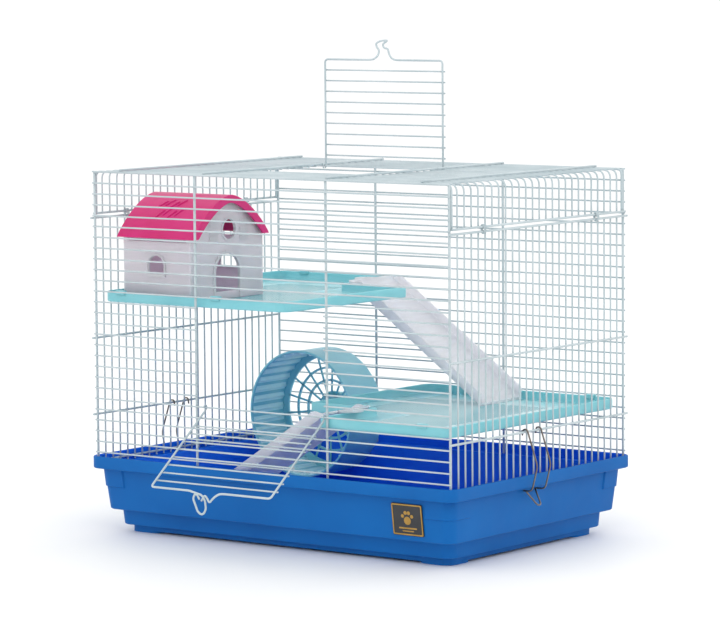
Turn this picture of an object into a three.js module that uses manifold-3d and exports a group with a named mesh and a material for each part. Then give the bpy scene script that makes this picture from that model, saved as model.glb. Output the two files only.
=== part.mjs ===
// Two-storey hamster cage: a plastic tray, a folding wire cage with two doors, two
// platforms, two ramps, a house and an exercise wheel. Millimetres, +Z up, front at -Y.
import * as THREE from 'three';
import { mergeVertices } from 'three/addons/utils/BufferGeometryUtils.js';
import Module from 'manifold-3d';

const wasm = await Module();
wasm.setup();

// ---- driving dimensions ----------------------------------------------------------------
const gap = 0.3;                      // clearance between neighbouring pieces
const past = 1;                       // a cutter runs this far past what it cuts
const bite = 1;                       // joined solids run this far into each other
const shy = 0.05;                     // a bend's bars stop short of flush, so no faces share a plane
const thin = 2.0;                     // light grille wire
const thick = 2.6;                    // posts and frames
const doorWire = 2.2;
const crossWire = 2.4;

const tray = { halfX: 236, halfY: 163.3, top: 82.35, rimBottom: 69, corner: 12, wall: 2.6 };
const footHeight = 2.2;
const baseTop = 7.9;
const floorTop = footHeight + tray.wall;
const trayStep = 25.15;               // where the tray's wall steps out above its base
const trayLedge = trayStep + tray.wall;
const trayEase = 0.4;                 // how far a step in the wall rises over its width
// how far each level of the tray stands in from its rim, along X and along Y
const tier = {
  foot: [26.9, 33.3],
  base: [20.6, 25.6],
  baseEdge: [20, 23.6],
  wallFoot: [11.2, 14],
  wallTop: [8.2, 8.2],
  rim: [0, 0],
};
const pad = { sizeX: 42, sizeY: 40 };
const plate = { x: 174, z: 47.1, halfX: 19, halfZ: 16.5, halfThick: 0.5, proud: 0.9 };

const cageX = 229.5;                  // side grille, centre of its upright wires
const cageY = 158.2;                  // front and back grilles, centre of their level wires
const cageTop = 383.9;
const cageFoot = 72.2;                // lowest point of the wire, on the ledge in the rim
const levelPitch = 11.38;             // front and back wires, centre to centre
const levelCount = 26;
const levelTop = 370.9;
const uprightPitch = 11.94;           // side and roof wires, centre to centre
const uprightHalf = 12;               // 25 wires: twelve each side of the middle one
const postX = [-229, -93.4, 76.5, 229];
const skirtFoot = 338.6;              // the roof panel's folded-down edge
const sideTop = 333.9;                // top wire of the lower side panel
const sideCross = [333.9, 207, 126, 76];
const roofCross = [-195, -83, 77, 195];
const roofEdgeY = 152.9;
const roofEdgeWire = 2.4;
const endReach = 230.2;               // how far the level wires run past the middle
const stub = { left: 3, right: 2.2, roof: 1 };   // cut level wires run this far past their post
const crossReach = { low: 150, high: 160 };      // half lengths, inside the tray's rim and above it
const roofReach = { front: -155.4, back: 157, skirtBack: 156.5 };

const doorGaps = 10;                  // both doors are ten wire gaps high
const doorLeft = -80.3;
const doorRight = 73.9;
const frontHingeRow = 20;
const roofHingeRow = 4;
const doorOffset = 2.6;               // door plane outside its hinge wire
const frontDoorOpen = 128;            // degrees from closed
const loopBore = 1.8;
const loopOuter = 3.3;
const rodReach = 2;                   // the doors' rods run this far past their side wires
const sideFoot = 2.4;                 // the side wires start here, clear of the hinge loops' bore
const tabLean = THREE.MathUtils.degToRad(40);    // the front latch's loop is bent out of its door by this

// a tray clip's wire; the arms end endIn short of the hooks, and turn is the loop's straight half
const clip = {
  wire: 1.8, hook: 3.4, over: 2.6, bow: 15, bowZ: -34, footX: 8, footZ: -60,
  tipX: 9, tipZ: -75, endIn: 1, turn: 3,
};
const clipAt = -1.5;                  // tray clips, in upright pitches from the middle
const sleeve = { skin: 1.4, side: 1.7, half: 3.5, gapAt: 8.5 };   // fold clips, gapAt in pitches

const platform = { sizeX: 246, sizeY: 304, rim: 11, wall: 2.4, floor: 2.4, corner: 14 };
const notch = { x: 85, y: 95 };
const upperLevel = 245.7;
const lowerLevel = 131.9;
const platformMidX = 103;             // platform centres are this far left and right
const platformMidY = 2;

// the lips rise over the taper; the tongue is half an ellipse, as wide as tongueHalf each side
const ramp = { width: 76, lip: 11.2, wall: 2.2, tongue: 18, tongueHalf: 16, taper: 18, tongueIn: 0.5 };
const upperRampRun = 172;
const lowerRampRun = 177;
const rampTopX = 62;
const rampMidY = 103;

const house = { minX: -205.5, maxX: -114.5, minY: -138, maxY: -17, wallTop: 310.5, wall: 2.2 };
const roofShape = { half: 64, eave: 314, rise: 44, power: 1.65, ease: 0.9, thick: 2.2 };
const roofOver = 6.5;                 // roof past the gable at each end
const fascia = 8.5;

const doorway = { half: 20, sill: 8, top: 296 };
const porthole = { r: 10.5, offY: 3, z: 321.5 };
const window = { half: 11, sill: 277.5, top: 296 };
const eaveNotch = 6;                  // the side walls stop below the eaves between the gables

const wheel = { x: -145.5, z: 107, r: 70, wall: 2.2, front: 85, back: 143, spokes: 18, firstSpoke: 0.4 };
const grille = { depth: 2.5, rim: 11, rings: [45, 31] };   // rings by their inner radii
const axle = { r: 4, bore: 4.4, hub: 15, reach: 9 };
const cap = { r: 8, thick: 3 };
const bracket = { r: 20, stand: 1.6, plate: 3, halfX: 9, halfZ: 16, rows: [22, 24] };
// facet counts of each arc of the round parts
const facets = { drum: 14, grille: 9, hub: 6, loop: 4, small: 8, foot: 3 };

const hook = { halfX: 5, behind: 2.6, above: 0.5, thick: 2.4, skin: 2, down: 4.5 };   // over the wires

// ---- solids ----------------------------------------------------------------------------
function toSolid(geometry) {
  const bare = geometry.index ? geometry.clone() : geometry;
  bare.deleteAttribute('normal');
  bare.deleteAttribute('uv');
  const merged = mergeVertices(bare, 1e-4);
  return new wasm.Manifold(new wasm.Mesh({
    numProp: 3,
    vertProperties: merged.attributes.position.array,
    triVerts: new Uint32Array(merged.index.array),
  }));
}

function toGeometry(solid) {
  const mesh = solid.getMesh();
  const geometry = new THREE.BufferGeometry();
  geometry.setAttribute('position', new THREE.BufferAttribute(mesh.vertProperties, 3));
  geometry.setIndex(new THREE.BufferAttribute(mesh.triVerts, 1));
  geometry.computeVertexNormals();
  return geometry;
}

function join(list) {
  let whole = list[0];
  for (const piece of list.slice(1)) whole = whole.add(piece);
  return whole;
}

function box(x0, x1, y0, y1, z0, z1) {
  const geometry = new THREE.BoxGeometry(x1 - x0, y1 - y0, z1 - z0);
  geometry.translate((x0 + x1) / 2, (y0 + y1) / 2, (z0 + z1) / 2);
  return toSolid(geometry);
}

// a square bar from a to b, reaching half its width past each end when it is a bend
function bar(a, b, width, reach = 0) {
  const start = new THREE.Vector3(...a);
  const along = new THREE.Vector3(...b).sub(start);
  const length = along.length();
  along.normalize();
  const geometry = new THREE.BoxGeometry(width, width, length + 2 * reach);
  geometry.applyQuaternion(new THREE.Quaternion().setFromUnitVectors(new THREE.Vector3(0, 0, 1), along));
  const middle = start.addScaledVector(along, length / 2);
  geometry.translate(middle.x, middle.y, middle.z);
  return toSolid(geometry);
}

function bentBar(points, width, reach = width / 2 - shy) {
  return points.slice(1).map((point, i) => bar(points[i], point, width, reach));
}

// a flat outline pushed along an axis: 'z' keeps (x, y), 'x' takes (y, z), 'y' takes (x, z)
function extrude(shape, from, to, axis = 'z', curveSegments = 6) {
  const geometry = new THREE.ExtrudeGeometry(shape, { depth: to - from, bevelEnabled: false, curveSegments });
  geometry.translate(0, 0, from);
  if (axis === 'x') {
    geometry.applyMatrix4(new THREE.Matrix4().makeBasis(
      new THREE.Vector3(0, 1, 0), new THREE.Vector3(0, 0, 1), new THREE.Vector3(1, 0, 0)));
  }
  if (axis === 'y') {
    geometry.applyMatrix4(new THREE.Matrix4().makeBasis(
      new THREE.Vector3(1, 0, 0), new THREE.Vector3(0, 0, 1), new THREE.Vector3(0, -1, 0)));
  }
  return toSolid(geometry);
}

function roundedRectangle(x0, x1, y0, y1, r) {
  const shape = new THREE.Shape();
  shape.moveTo(x0 + r, y0);
  shape.lineTo(x1 - r, y0);
  shape.absarc(x1 - r, y0 + r, r, -Math.PI / 2, 0, false);
  shape.lineTo(x1, y1 - r);
  shape.absarc(x1 - r, y1 - r, r, 0, Math.PI / 2, false);
  shape.lineTo(x0 + r, y1);
  shape.absarc(x0 + r, y1 - r, r, Math.PI / 2, Math.PI, false);
  shape.lineTo(x0, y0 + r);
  shape.absarc(x0 + r, y0 + r, r, Math.PI, Math.PI * 1.5, false);
  return shape;
}

function ring(inner, outer, from, to, axis, segments) {
  const shape = new THREE.Shape();
  shape.absarc(0, 0, outer, 0, Math.PI * 2, false);
  const hole = new THREE.Path();
  hole.absarc(0, 0, inner, 0, Math.PI * 2, true);
  shape.holes.push(hole);
  return extrude(shape, from, to, axis, segments);
}

function disc(r, from, to, axis, segments, centre = [0, 0]) {
  const shape = new THREE.Shape();
  shape.absarc(centre[0], centre[1], r, 0, Math.PI * 2, false);
  return extrude(shape, from, to, axis, segments);
}

// ---- tray ------------------------------------------------------------------------------
// one level loop of the tray: a rectangle with round corners
function trayLoop(halfX, halfY, z, r, steps = 3) {
  const points = [];
  const corners = [[1, -1, -90], [1, 1, 0], [-1, 1, 90], [-1, -1, 180]];
  for (const [sx, sy, startDeg] of corners) {
    for (let i = 0; i <= steps; i += 1) {
      const angle = THREE.MathUtils.degToRad(startDeg + (90 * i) / steps);
      points.push([sx * (halfX - r) + r * Math.cos(angle), sy * (halfY - r) + r * Math.sin(angle), z]);
    }
  }
  return points;
}

// the loops in order, each joined to the next, the first and the last closed by fans
function loft(loops) {
  const count = loops[0].length;
  const position = [];
  const index = [];
  for (const loop of loops) for (const point of loop) position.push(...point);
  for (let k = 0; k + 1 < loops.length; k += 1) {
    for (let i = 0; i < count; i += 1) {
      const a = k * count + i;
      const b = k * count + ((i + 1) % count);
      index.push(a, b, b + count, a, b + count, a + count);
    }
  }
  const last = (loops.length - 1) * count;
  for (let i = 1; i + 1 < count; i += 1) {
    index.push(0, i + 1, i);
    index.push(last, last + i, last + i + 1);
  }
  const geometry = new THREE.BufferGeometry();
  geometry.setAttribute('position', new THREE.BufferAttribute(new Float32Array(position), 3));
  geometry.setIndex(index);
  return toSolid(geometry);
}

function buildTray() {
  const { halfX, halfY, top, rimBottom, corner, wall } = tray;
  const level = ([dx, dy], z, skin) => trayLoop(halfX - dx - skin, halfY - dy - skin, z, corner - skin);
  const outside = [
    [tier.foot, footHeight],
    [tier.foot, baseTop],
    [tier.base, baseTop + trayEase],
    [tier.baseEdge, trayStep - trayEase],
    [tier.wallFoot, trayStep],
    [tier.wallTop, rimBottom],
    [tier.rim, rimBottom + trayEase],
    [tier.rim, top],
  ];
  const inside = [
    [tier.rim, top],
    [tier.rim, rimBottom + wall + trayEase],
    [tier.wallTop, rimBottom + wall],
    [tier.wallFoot, trayStep + wall],
    [tier.baseEdge, trayStep + wall - trayEase],
    [tier.base, baseTop + wall + trayEase],
    [tier.foot, baseTop + wall],
    [tier.foot, floorTop],
  ];
  const outer = outside.map(([at, z]) => level(at, z, 0));
  const inner = inside.map(([at, z]) => level(at, z, wall));
  let body = loft([...outer, ...inner]);
  const footX = halfX - tier.foot[0];
  const footY = halfY - tier.foot[1];
  for (const sx of [-1, 1]) {
    for (const sy of [-1, 1]) {
      const xs = [sx * footX, sx * (footX - pad.sizeX)].sort((a, b) => a - b);
      const ys = [sy * footY, sy * (footY - pad.sizeY)].sort((a, b) => a - b);
      const foot = roundedRectangle(xs[0], xs[1], ys[0], ys[1], corner);
      body = body.add(extrude(foot, 0, footHeight + bite, 'z', facets.foot));
    }
  }
  return body;
}

// a blank plate on the sloping front wall
function buildNameplate() {
  const { halfX, halfThick, halfZ } = plate;
  return box(-halfX, halfX, -halfThick, halfThick, -halfZ, halfZ);
}

// ---- grilles ---------------------------------------------------------------------------
function levelZ(row) {
  return levelTop - levelPitch * row;
}

// upright posts behind, level wires in front; side is -1 for the front and 1 for the back
function buildEndPanel(side, openRows) {
  const wireY = side * cageY;
  const postY = side * (cageY - thin / 2 - thick / 2);
  const pieces = postX.map((x) => bar([x, postY, cageFoot], [x, postY, cageTop - gap], thick));
  pieces.push(bar([-endReach, wireY, cageTop - thin / 2], [endReach, wireY, cageTop - thin / 2], thin));
  for (let row = 0; row < levelCount; row += 1) {
    const z = levelZ(row);
    if (openRows.includes(row)) {
      pieces.push(bar([-endReach, wireY, z], [postX[1] + stub.left, wireY, z], thin));
      pieces.push(bar([postX[2] - stub.right, wireY, z], [endReach, wireY, z], thin));
    } else {
      pieces.push(bar([-endReach, wireY, z], [endReach, wireY, z], thin));
    }
  }
  return join(pieces);
}

// upright wires with cross wires outside them
function buildSidePanel(side) {
  const crossX = side * (cageX + thin / 2 + crossWire / 2);
  const pieces = [];
  for (let k = -uprightHalf; k <= uprightHalf; k += 1) {
    const y = k * uprightPitch;
    pieces.push(bar([side * cageX, y, cageFoot], [side * cageX, y, sideTop + crossWire / 2], thin));
  }
  for (const z of sideCross) {
    const reach = z < tray.top ? crossReach.low : crossReach.high;
    pieces.push(bar([crossX, -reach, z], [crossX, reach, z], crossWire));
  }
  return join(pieces);
}

// the roof and its two skirts are one welded mesh bent down over the sides
function buildRoofPanel() {
  const topZ = cageTop - thin / 2;
  const crossZ = cageTop + crossWire / 2;
  const skirtX = cageX + thin / 2 + crossWire / 2;
  const skirtEnd = skirtFoot - crossWire / 2;
  const edgeX = cageX + thin / 2;
  const pieces = [];
  for (let k = -uprightHalf; k <= uprightHalf; k += 1) {
    const y = k * uprightPitch;
    const isOpen = k > roofHingeRow - doorGaps && k < roofHingeRow;
    if (isOpen) {
      pieces.push(bar([-edgeX, y, topZ], [roofCross[1] + stub.roof, y, topZ], thin));
      pieces.push(bar([roofCross[2] - stub.roof, y, topZ], [edgeX, y, topZ], thin));
    } else {
      pieces.push(bar([-edgeX, y, topZ], [edgeX, y, topZ], thin));
    }
    for (const x of [-cageX, cageX]) pieces.push(bar([x, y, topZ - thin / 2], [x, y, skirtEnd], thin));
  }
  for (const y of [-roofEdgeY, roofEdgeY]) {
    const wire = roofEdgeWire;
    pieces.push(bar([-edgeX, y, cageTop - wire / 2], [edgeX, y, cageTop - wire / 2], wire));
    for (const side of [-1, 1]) {
      const x = side * (edgeX - wire / 2);
      pieces.push(bar([x, y, cageTop - wire], [x, y, skirtEnd], wire));
    }
  }
  const { front, back, skirtBack } = roofReach;
  for (const x of roofCross) pieces.push(bar([x, front, crossZ], [x, back, crossZ], crossWire));
  for (const side of [-1, 1]) {
    pieces.push(bar([side * skirtX, front, skirtFoot], [side * skirtX, skirtBack, skirtFoot], crossWire));
  }
  return join(pieces);
}

// ---- doors -----------------------------------------------------------------------------
// its own frame has the hinge wire along X at the origin and the door going up +Z, with its
// plane doorOffset outside the hinge wire; a latch's bars don't reach past their bends, so that
// one bent outwards never pokes into the grille when the door is closed
function buildDoor(latch, side) {
  const height = doorGaps * levelPitch;
  const y = side * doorOffset;
  const rodY = side * (doorOffset + doorWire / 2 + thin / 2);
  const pieces = [];
  for (const x of [doorLeft, doorRight]) {
    pieces.push(bar([x, y, sideFoot], [x, y, height], doorWire, doorWire / 2));
    pieces.push(ring(loopBore, loopOuter, x - doorWire / 2, x + doorWire / 2, 'x', facets.loop));
  }
  for (const path of latch(height)) {
    pieces.push(...bentBar(path.map(([x, z, out = 0]) => [x, y + side * out, z]), doorWire, 0));
  }
  for (let row = 1; row < doorGaps; row += 1) {
    const z = height - row * levelPitch;
    pieces.push(bar([doorLeft - rodReach, rodY, z], [doorRight + rodReach, rodY, z], thin));
  }
  return join(pieces);
}

// a finger loop on the left of the middle and a kink on its right, both bent outwards; each
// point is a place along the edge and a distance out along the bent tab
function frontLatch(top) {
  const tab = [
    [doorLeft, 0], [-25, 0], [-21, 22], [-9, 22], [-11, 2], [-3, 10], [7, 0], [doorRight, 0],
  ];
  return [tab.map(([x, t]) => [x, top + t * Math.cos(tabLean), t * Math.sin(tabLean)])];
}

// two hooks that face each other
function topLatch(top) {
  return [
    [[doorLeft, top], [-14, top], [-10, top + 12], [-15, top + 16], [-8, top + 21], [3, top + 21]],
    [[doorRight, top], [7, top], [3, top + 12], [-1, top + 14]],
  ];
}

// ---- spring clips ----------------------------------------------------------------------
// two arms hooked over the lower cross wire, bowed round the rim and turned in under it,
// joined by a finger loop; its own frame has the cross wire at the origin, outside at +X
function buildTrayClip() {
  const { wire, hook, over, bow, bowZ, footX, footZ, tipX, tipZ, endIn, turn } = clip;
  const half = uprightPitch;
  const inX = endIn - hook;
  const arm = (y) => [
    [-hook, y, -hook], [-over, y, over], [over, y, over], [bow, y, bowZ], [footX, y, footZ], [inX, y, footZ],
  ];
  return join([
    ...bentBar(arm(-half), wire),
    ...bentBar(arm(half), wire),
    ...bentBar([
      [inX, half, footZ], [inX, half - turn, footZ], [tipX, turn, tipZ], [tipX, -turn, tipZ],
      [inX, turn - half, footZ], [inX, -half, footZ],
    ], wire),
  ]);
}

// a flat sleeve round the two wires that meet at the fold
function buildFoldClip() {
  const { skin, side, half } = sleeve;
  const room = crossWire / 2 + gap;
  const low = sideTop - room;
  const high = skirtFoot + room;
  const outer = box(-side, crossWire + side, -half, half, low - skin, high + skin);
  return outer.subtract(box(-gap, crossWire + gap, -half - past, half + past, low, high));
}

// ---- platforms -------------------------------------------------------------------------
// outline with the ramp's notch at the corner +X, +Y, inset all round
function platformShape(inset) {
  const x1 = platform.sizeX / 2 - inset;
  const y1 = platform.sizeY / 2 - inset;
  const r = platform.corner - inset;
  const nx = platform.sizeX / 2 - notch.x - inset;
  const ny = platform.sizeY / 2 - notch.y - inset;
  const shape = new THREE.Shape();
  shape.moveTo(-x1 + r, -y1);
  shape.lineTo(x1 - r, -y1);
  shape.absarc(x1 - r, -y1 + r, r, -Math.PI / 2, 0, false);
  shape.lineTo(x1, ny);
  shape.lineTo(nx, ny);
  shape.lineTo(nx, y1);
  shape.lineTo(-x1 + r, y1);
  shape.absarc(-x1 + r, y1 - r, r, Math.PI / 2, Math.PI, false);
  shape.lineTo(-x1, -y1 + r);
  shape.absarc(-x1 + r, -y1 + r, r, Math.PI, Math.PI * 1.5, false);
  return shape;
}

function buildPlatform() {
  const whole = extrude(platformShape(0), 0, platform.rim);
  const pocket = extrude(platformShape(platform.wall), platform.floor, platform.rim + past);
  return whole.subtract(pocket);
}

// ---- ramps -----------------------------------------------------------------------------
// a channel running down +X from its top edge at the origin, with a round tongue at -X
function buildRamp(run, drop) {
  const { width, lip, wall, tongue, tongueHalf, taper, tongueIn } = ramp;
  const slope = Math.atan2(drop, run);
  const rise = lip / Math.cos(slope);
  const deep = wall / Math.cos(slope);
  const side = new THREE.Shape();
  side.moveTo(0, 0);
  side.lineTo(run, -drop);
  side.lineTo(run, -drop + rise);
  side.lineTo(taper, rise - (drop * taper) / run);
  side.lineTo(0, deep);
  const bed = new THREE.Shape();
  bed.moveTo(0, 0);
  bed.lineTo(run, -drop);
  bed.lineTo(run, -drop + deep);
  bed.lineTo(0, deep);
  const half = width / 2;
  const pieces = [
    extrude(bed, -half, half, 'y'),
    extrude(side, -half, -half + wall, 'y'),
    extrude(side, half - wall, half, 'y'),
  ];
  const round = new THREE.Shape();
  round.moveTo(tongueIn, -tongueHalf);
  round.absellipse(tongueIn, 0, tongue, tongueHalf, -Math.PI / 2, Math.PI / 2, true);
  pieces.push(extrude(round, 0, wall, 'z', facets.small));
  return join(pieces);
}

// ---- house -----------------------------------------------------------------------------
// height of the roof's outside at a distance d from the ridge, less a drop
function roofHeight(d, drop = 0) {
  const share = Math.min(Math.abs(d) / roofShape.half, 1);
  return roofShape.eave + roofShape.rise * (1 - share ** roofShape.power) ** roofShape.ease - drop;
}

function arch(half, drop, foot, steps = 14) {
  const shape = new THREE.Shape();
  const mid = (house.minY + house.maxY) / 2;
  shape.moveTo(mid - half, foot);
  shape.lineTo(mid + half, foot);
  for (let i = 0; i <= steps; i += 1) {
    const d = half * (1 - (2 * i) / steps);
    shape.lineTo(mid + d, roofHeight(d, drop));
  }
  return shape;
}

function archedHole(mid, half, foot, top) {
  const shape = new THREE.Shape();
  shape.moveTo(mid - half, foot);
  shape.lineTo(mid + half, foot);
  shape.lineTo(mid + half, top - half);
  shape.absarc(mid, top - half, half, 0, Math.PI, false);
  return shape;
}

function buildHouseWalls() {
  const { minX, maxX, minY, maxY, wallTop, wall } = house;
  const foot = upperLevel + platform.floor + gap;
  const under = roofShape.thick + gap;
  const half = (maxY - minY) / 2;
  let body = extrude(arch(half, under, foot), minX, maxX, 'x');
  body = body.subtract(extrude(arch(half - wall, under + wall, foot - past), minX + wall, maxX - wall, 'x'));
  body = body.subtract(box(
    minX + eaveNotch, maxX - eaveNotch, minY - past, maxY + past, wallTop, roofShape.eave + roofShape.rise));
  const midY = (minY + maxY) / 2;
  const entry = archedHole(midY, doorway.half, foot + doorway.sill, doorway.top);
  const light = archedHole((minX + maxX) / 2, window.half, window.sill, window.top);
  const eye = [midY + porthole.offY, porthole.z];
  return body
    .subtract(extrude(entry, maxX - wall - past, maxX + past, 'x'))
    .subtract(disc(porthole.r, maxX - wall - past, maxX + past, 'x', facets.small, eye))
    .subtract(extrude(light, -(maxY + past), -(minY - past), 'y'));
}

function buildHouseRoof() {
  const { half, thick: skin, eave } = roofShape;
  const from = house.minX - roofOver;
  const to = house.maxX + roofOver;
  const outside = arch(half, 0, eave);
  const shell = extrude(outside, from, to, 'x')
    .subtract(extrude(arch(half - skin, skin, eave - past), from - past, to + past, 'x'));
  const rim = (x0, x1) => extrude(outside, x0, x1, 'x')
    .subtract(extrude(arch(half - fascia, fascia, eave - past), x0 - past, x1 + past, 'x'));
  return join([shell, rim(from, from + skin), rim(to - skin, to)]);
}

// ---- wheel -----------------------------------------------------------------------------
// open at the front (-Y), spoked at the back; its own frame is centred on the axle
function buildWheel() {
  const { r, wall, front, back, spokes, firstSpoke } = wheel;
  const { depth, rim, rings } = grille;
  const band = (inner, outer, y0, y1, segments) => ring(inner, outer, -y1, -y0, 'y', segments);
  const pieces = [
    band(r - wall, r, front, back, facets.drum),
    band(r - rim, r, back - depth, back, facets.drum),
    ...rings.map((inner) => band(inner, inner + depth, back - depth, back, facets.grille)),
    band(axle.bore, axle.hub, back - depth, back, facets.hub),
  ];
  for (let i = 0; i < spokes; i += 1) {
    const angle = (Math.PI * 2 * (i + firstSpoke)) / spokes;
    const dx = Math.cos(angle);
    const dz = Math.sin(angle);
    const y = back - depth / 2;
    const from = axle.hub - bite;
    const to = r - rim + bite;
    pieces.push(bar([dx * from, y, dz * from], [dx * to, y, dz * to], depth));
  }
  return join(pieces);
}

// a block on the back grille: it stands off the wires and hooks over two of them
function buildWheelBracket() {
  const { r, stand, plate: skin, halfX, halfZ, rows } = bracket;
  const front = wheel.back + stand;
  const wireInside = cageY - thin / 2 - thick;
  const { x, z } = wheel;
  const pieces = [
    disc(r, -(front + skin), -front, 'y', facets.small, [x, z]),
    box(x - halfX, x + halfX, front + bite, wireInside - 2 * gap, z - halfZ, z + halfZ),
  ];
  for (const row of rows) {
    const bottom = levelZ(row) + thin / 2 + hook.above;
    const back = cageY + thin / 2 + hook.behind;
    const [left, right] = [x - hook.halfX, x + hook.halfX];
    pieces.push(box(left, right, wireInside - 2 * bite, back, bottom, bottom + hook.thick));
    pieces.push(box(left, right, back - hook.skin, back, bottom - hook.down, bottom + bite));
  }
  return join(pieces);
}

function buildWheelAxle() {
  return disc(axle.r, -(wheel.back + bracket.stand - gap), -(wheel.back - axle.reach), 'y', facets.small);
}

function buildWheelCap() {
  const back = wheel.back - axle.reach - gap;
  return disc(cap.r, -back, -(back - cap.thick), 'y', facets.small);
}

// ---- assembly --------------------------------------------------------------------------
const cage = new THREE.Group();
const assembly = new THREE.Group();
assembly.add(cage);

const finishes = {
  tray: [0x1c6fc0, 0.42, 0],
  wire: [0xdbe6e4, 0.45, 0],
  steel: [0x4d4a46, 0.35, 0.9],
  aqua: [0x7fd9d6, 0.4, 0],
  frosted: [0xd6dbe4, 0.4, 0],
  pink: [0xe0408a, 0.4, 0],
  teal: [0x4fb3c0, 0.3, 0],
  plate: [0x16181b, 0.4, 0],
};

function place(name, solid, finish, position = [0, 0, 0], turn = [0, 0, 0]) {
  const [color, roughness, metalness] = finishes[finish];
  const material = new THREE.MeshStandardMaterial({ color, roughness, metalness });
  const mesh = new THREE.Mesh(toGeometry(solid), material);
  mesh.name = name;
  mesh.position.set(...position);
  mesh.rotation.set(...turn.map(THREE.MathUtils.degToRad));
  cage.add(mesh);
}

place('tray', buildTray(), 'tray');
const lean = (tier.wallFoot[1] - tier.wallTop[1]) / (tray.rimBottom - trayStep);
const plateY = tray.halfY - tier.wallFoot[1] + lean * (plate.z - trayStep) + plate.proud;
place('nameplate', buildNameplate(), 'plate', [plate.x, -plateY, plate.z],
  [THREE.MathUtils.radToDeg(Math.atan(lean)), 0, 0]);

const frontOpenRows = Array.from({ length: doorGaps - 1 }, (_, i) => frontHingeRow - 1 - i);
place('front_panel', buildEndPanel(-1, frontOpenRows), 'wire');
place('back_panel', buildEndPanel(1, []), 'wire');
place('left_side_panel', buildSidePanel(-1), 'wire');
place('right_side_panel', buildSidePanel(1), 'wire');
place('roof_panel', buildRoofPanel(), 'wire');

const frontHinge = [0, -cageY, levelZ(frontHingeRow)];
const roofHinge = [0, roofHingeRow * uprightPitch, cageTop - thin / 2];
place('front_door', buildDoor(frontLatch, -1), 'wire', frontHinge, [frontDoorOpen, 0, 0]);
place('top_door', buildDoor(topLatch, 1), 'wire', roofHinge);

const foldClipX = cageX + thin / 2;
const clipY = clipAt * uprightPitch;
for (const [side, word, turn] of [[-1, 'left', 180], [1, 'right', 0]]) {
  for (const [end, where] of [[-1, 'front'], [1, 'rear']]) {
    const y = end * sleeve.gapAt * uprightPitch;
    place(`fold_clip_${word}_${where}`, buildFoldClip(), 'wire', [side * foldClipX, y, 0], [0, 0, turn]);
  }
  const crossX = side * (cageX + thin / 2 + crossWire / 2);
  place(`tray_clip_${word}`, buildTrayClip(), 'steel', [crossX, clipY, sideCross[2]], [0, 0, turn]);
}

place('upper_platform', buildPlatform(), 'aqua', [-platformMidX, platformMidY, upperLevel]);
place('lower_platform', buildPlatform(), 'aqua', [platformMidX, -platformMidY, lowerLevel], [0, 0, 180]);

const upperRampTop = upperLevel + platform.rim + gap;
const lowerRampTop = lowerLevel + platform.rim + gap;
const upperRampDrop = upperRampTop - (lowerLevel + platform.floor + gap);
const lowerRampDrop = lowerRampTop - (trayLedge + gap);
place('upper_ramp', buildRamp(upperRampRun, upperRampDrop), 'frosted', [-rampTopX, rampMidY, upperRampTop]);
place('lower_ramp', buildRamp(lowerRampRun, lowerRampDrop), 'frosted',
  [rampTopX, -rampMidY, lowerRampTop], [0, 0, 180]);

place('house_walls', buildHouseWalls(), 'frosted');
place('house_roof', buildHouseRoof(), 'pink');

place('wheel_drum', buildWheel(), 'teal', [wheel.x, 0, wheel.z]);
place('wheel_bracket', buildWheelBracket(), 'aqua');
place('wheel_axle', buildWheelAxle(), 'steel', [wheel.x, 0, wheel.z]);
place('wheel_cap', buildWheelCap(), 'aqua', [wheel.x, 0, wheel.z]);

// the origin is under the middle of the whole object, on the ground
const bounds = new THREE.Box3().setFromObject(cage, true);
cage.position.set(-(bounds.min.x + bounds.max.x) / 2, -(bounds.min.y + bounds.max.y) / 2, -bounds.min.z);

export default assembly;
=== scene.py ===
import math

import bmesh
import bpy
import numpy as np
from mathutils import Matrix, Vector


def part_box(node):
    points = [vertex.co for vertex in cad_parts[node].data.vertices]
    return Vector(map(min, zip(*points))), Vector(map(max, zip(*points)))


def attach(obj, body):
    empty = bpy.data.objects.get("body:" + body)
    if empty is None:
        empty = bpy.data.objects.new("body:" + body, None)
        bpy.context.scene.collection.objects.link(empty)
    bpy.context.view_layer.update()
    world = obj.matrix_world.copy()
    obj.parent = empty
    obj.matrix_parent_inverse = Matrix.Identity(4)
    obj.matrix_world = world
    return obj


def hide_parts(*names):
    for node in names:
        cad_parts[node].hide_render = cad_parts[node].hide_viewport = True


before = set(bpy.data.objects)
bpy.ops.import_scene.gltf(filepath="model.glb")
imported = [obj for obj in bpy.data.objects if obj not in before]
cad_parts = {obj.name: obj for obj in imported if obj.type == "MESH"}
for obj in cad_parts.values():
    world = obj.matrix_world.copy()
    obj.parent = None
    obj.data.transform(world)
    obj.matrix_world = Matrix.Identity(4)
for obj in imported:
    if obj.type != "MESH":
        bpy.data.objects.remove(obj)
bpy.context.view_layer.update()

# Two-storey hamster cage. Shapes are worked out in millimetres about the tray's own middle,
# +X right, +Y back, +Z up, and turned to metres in the frame's place when a mesh is made.
trayLow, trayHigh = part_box("tray")
trayMiddle = np.array([(trayLow.x + trayHigh.x) / 2, (trayLow.y + trayHigh.y) / 2, 0.0])
mm = 0.001


def nodeBox(name):  # a node's two corners in millimetres about the tray's middle
    low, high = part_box(name)
    return (np.array(low) - trayMiddle) / mm, (np.array(high) - trayMiddle) / mm


# ---- mesh helpers

# the finished mesh: millimetre points moved into the frame's place
def makePiece(name, points, faces, material, body, nodes, smooth=True):
    mesh = bpy.data.meshes.new(name)
    mesh.from_pydata((np.asarray(points) * mm + trayMiddle).tolist(), [], faces)
    mesh.polygons.foreach_set("use_smooth", [smooth] * len(mesh.polygons))
    piece = bpy.data.objects.new(name, mesh)
    bpy.context.collection.objects.link(piece)
    mesh.materials.append(material)
    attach(piece, body)
    if nodes:
        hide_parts(*nodes)
    return piece


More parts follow.
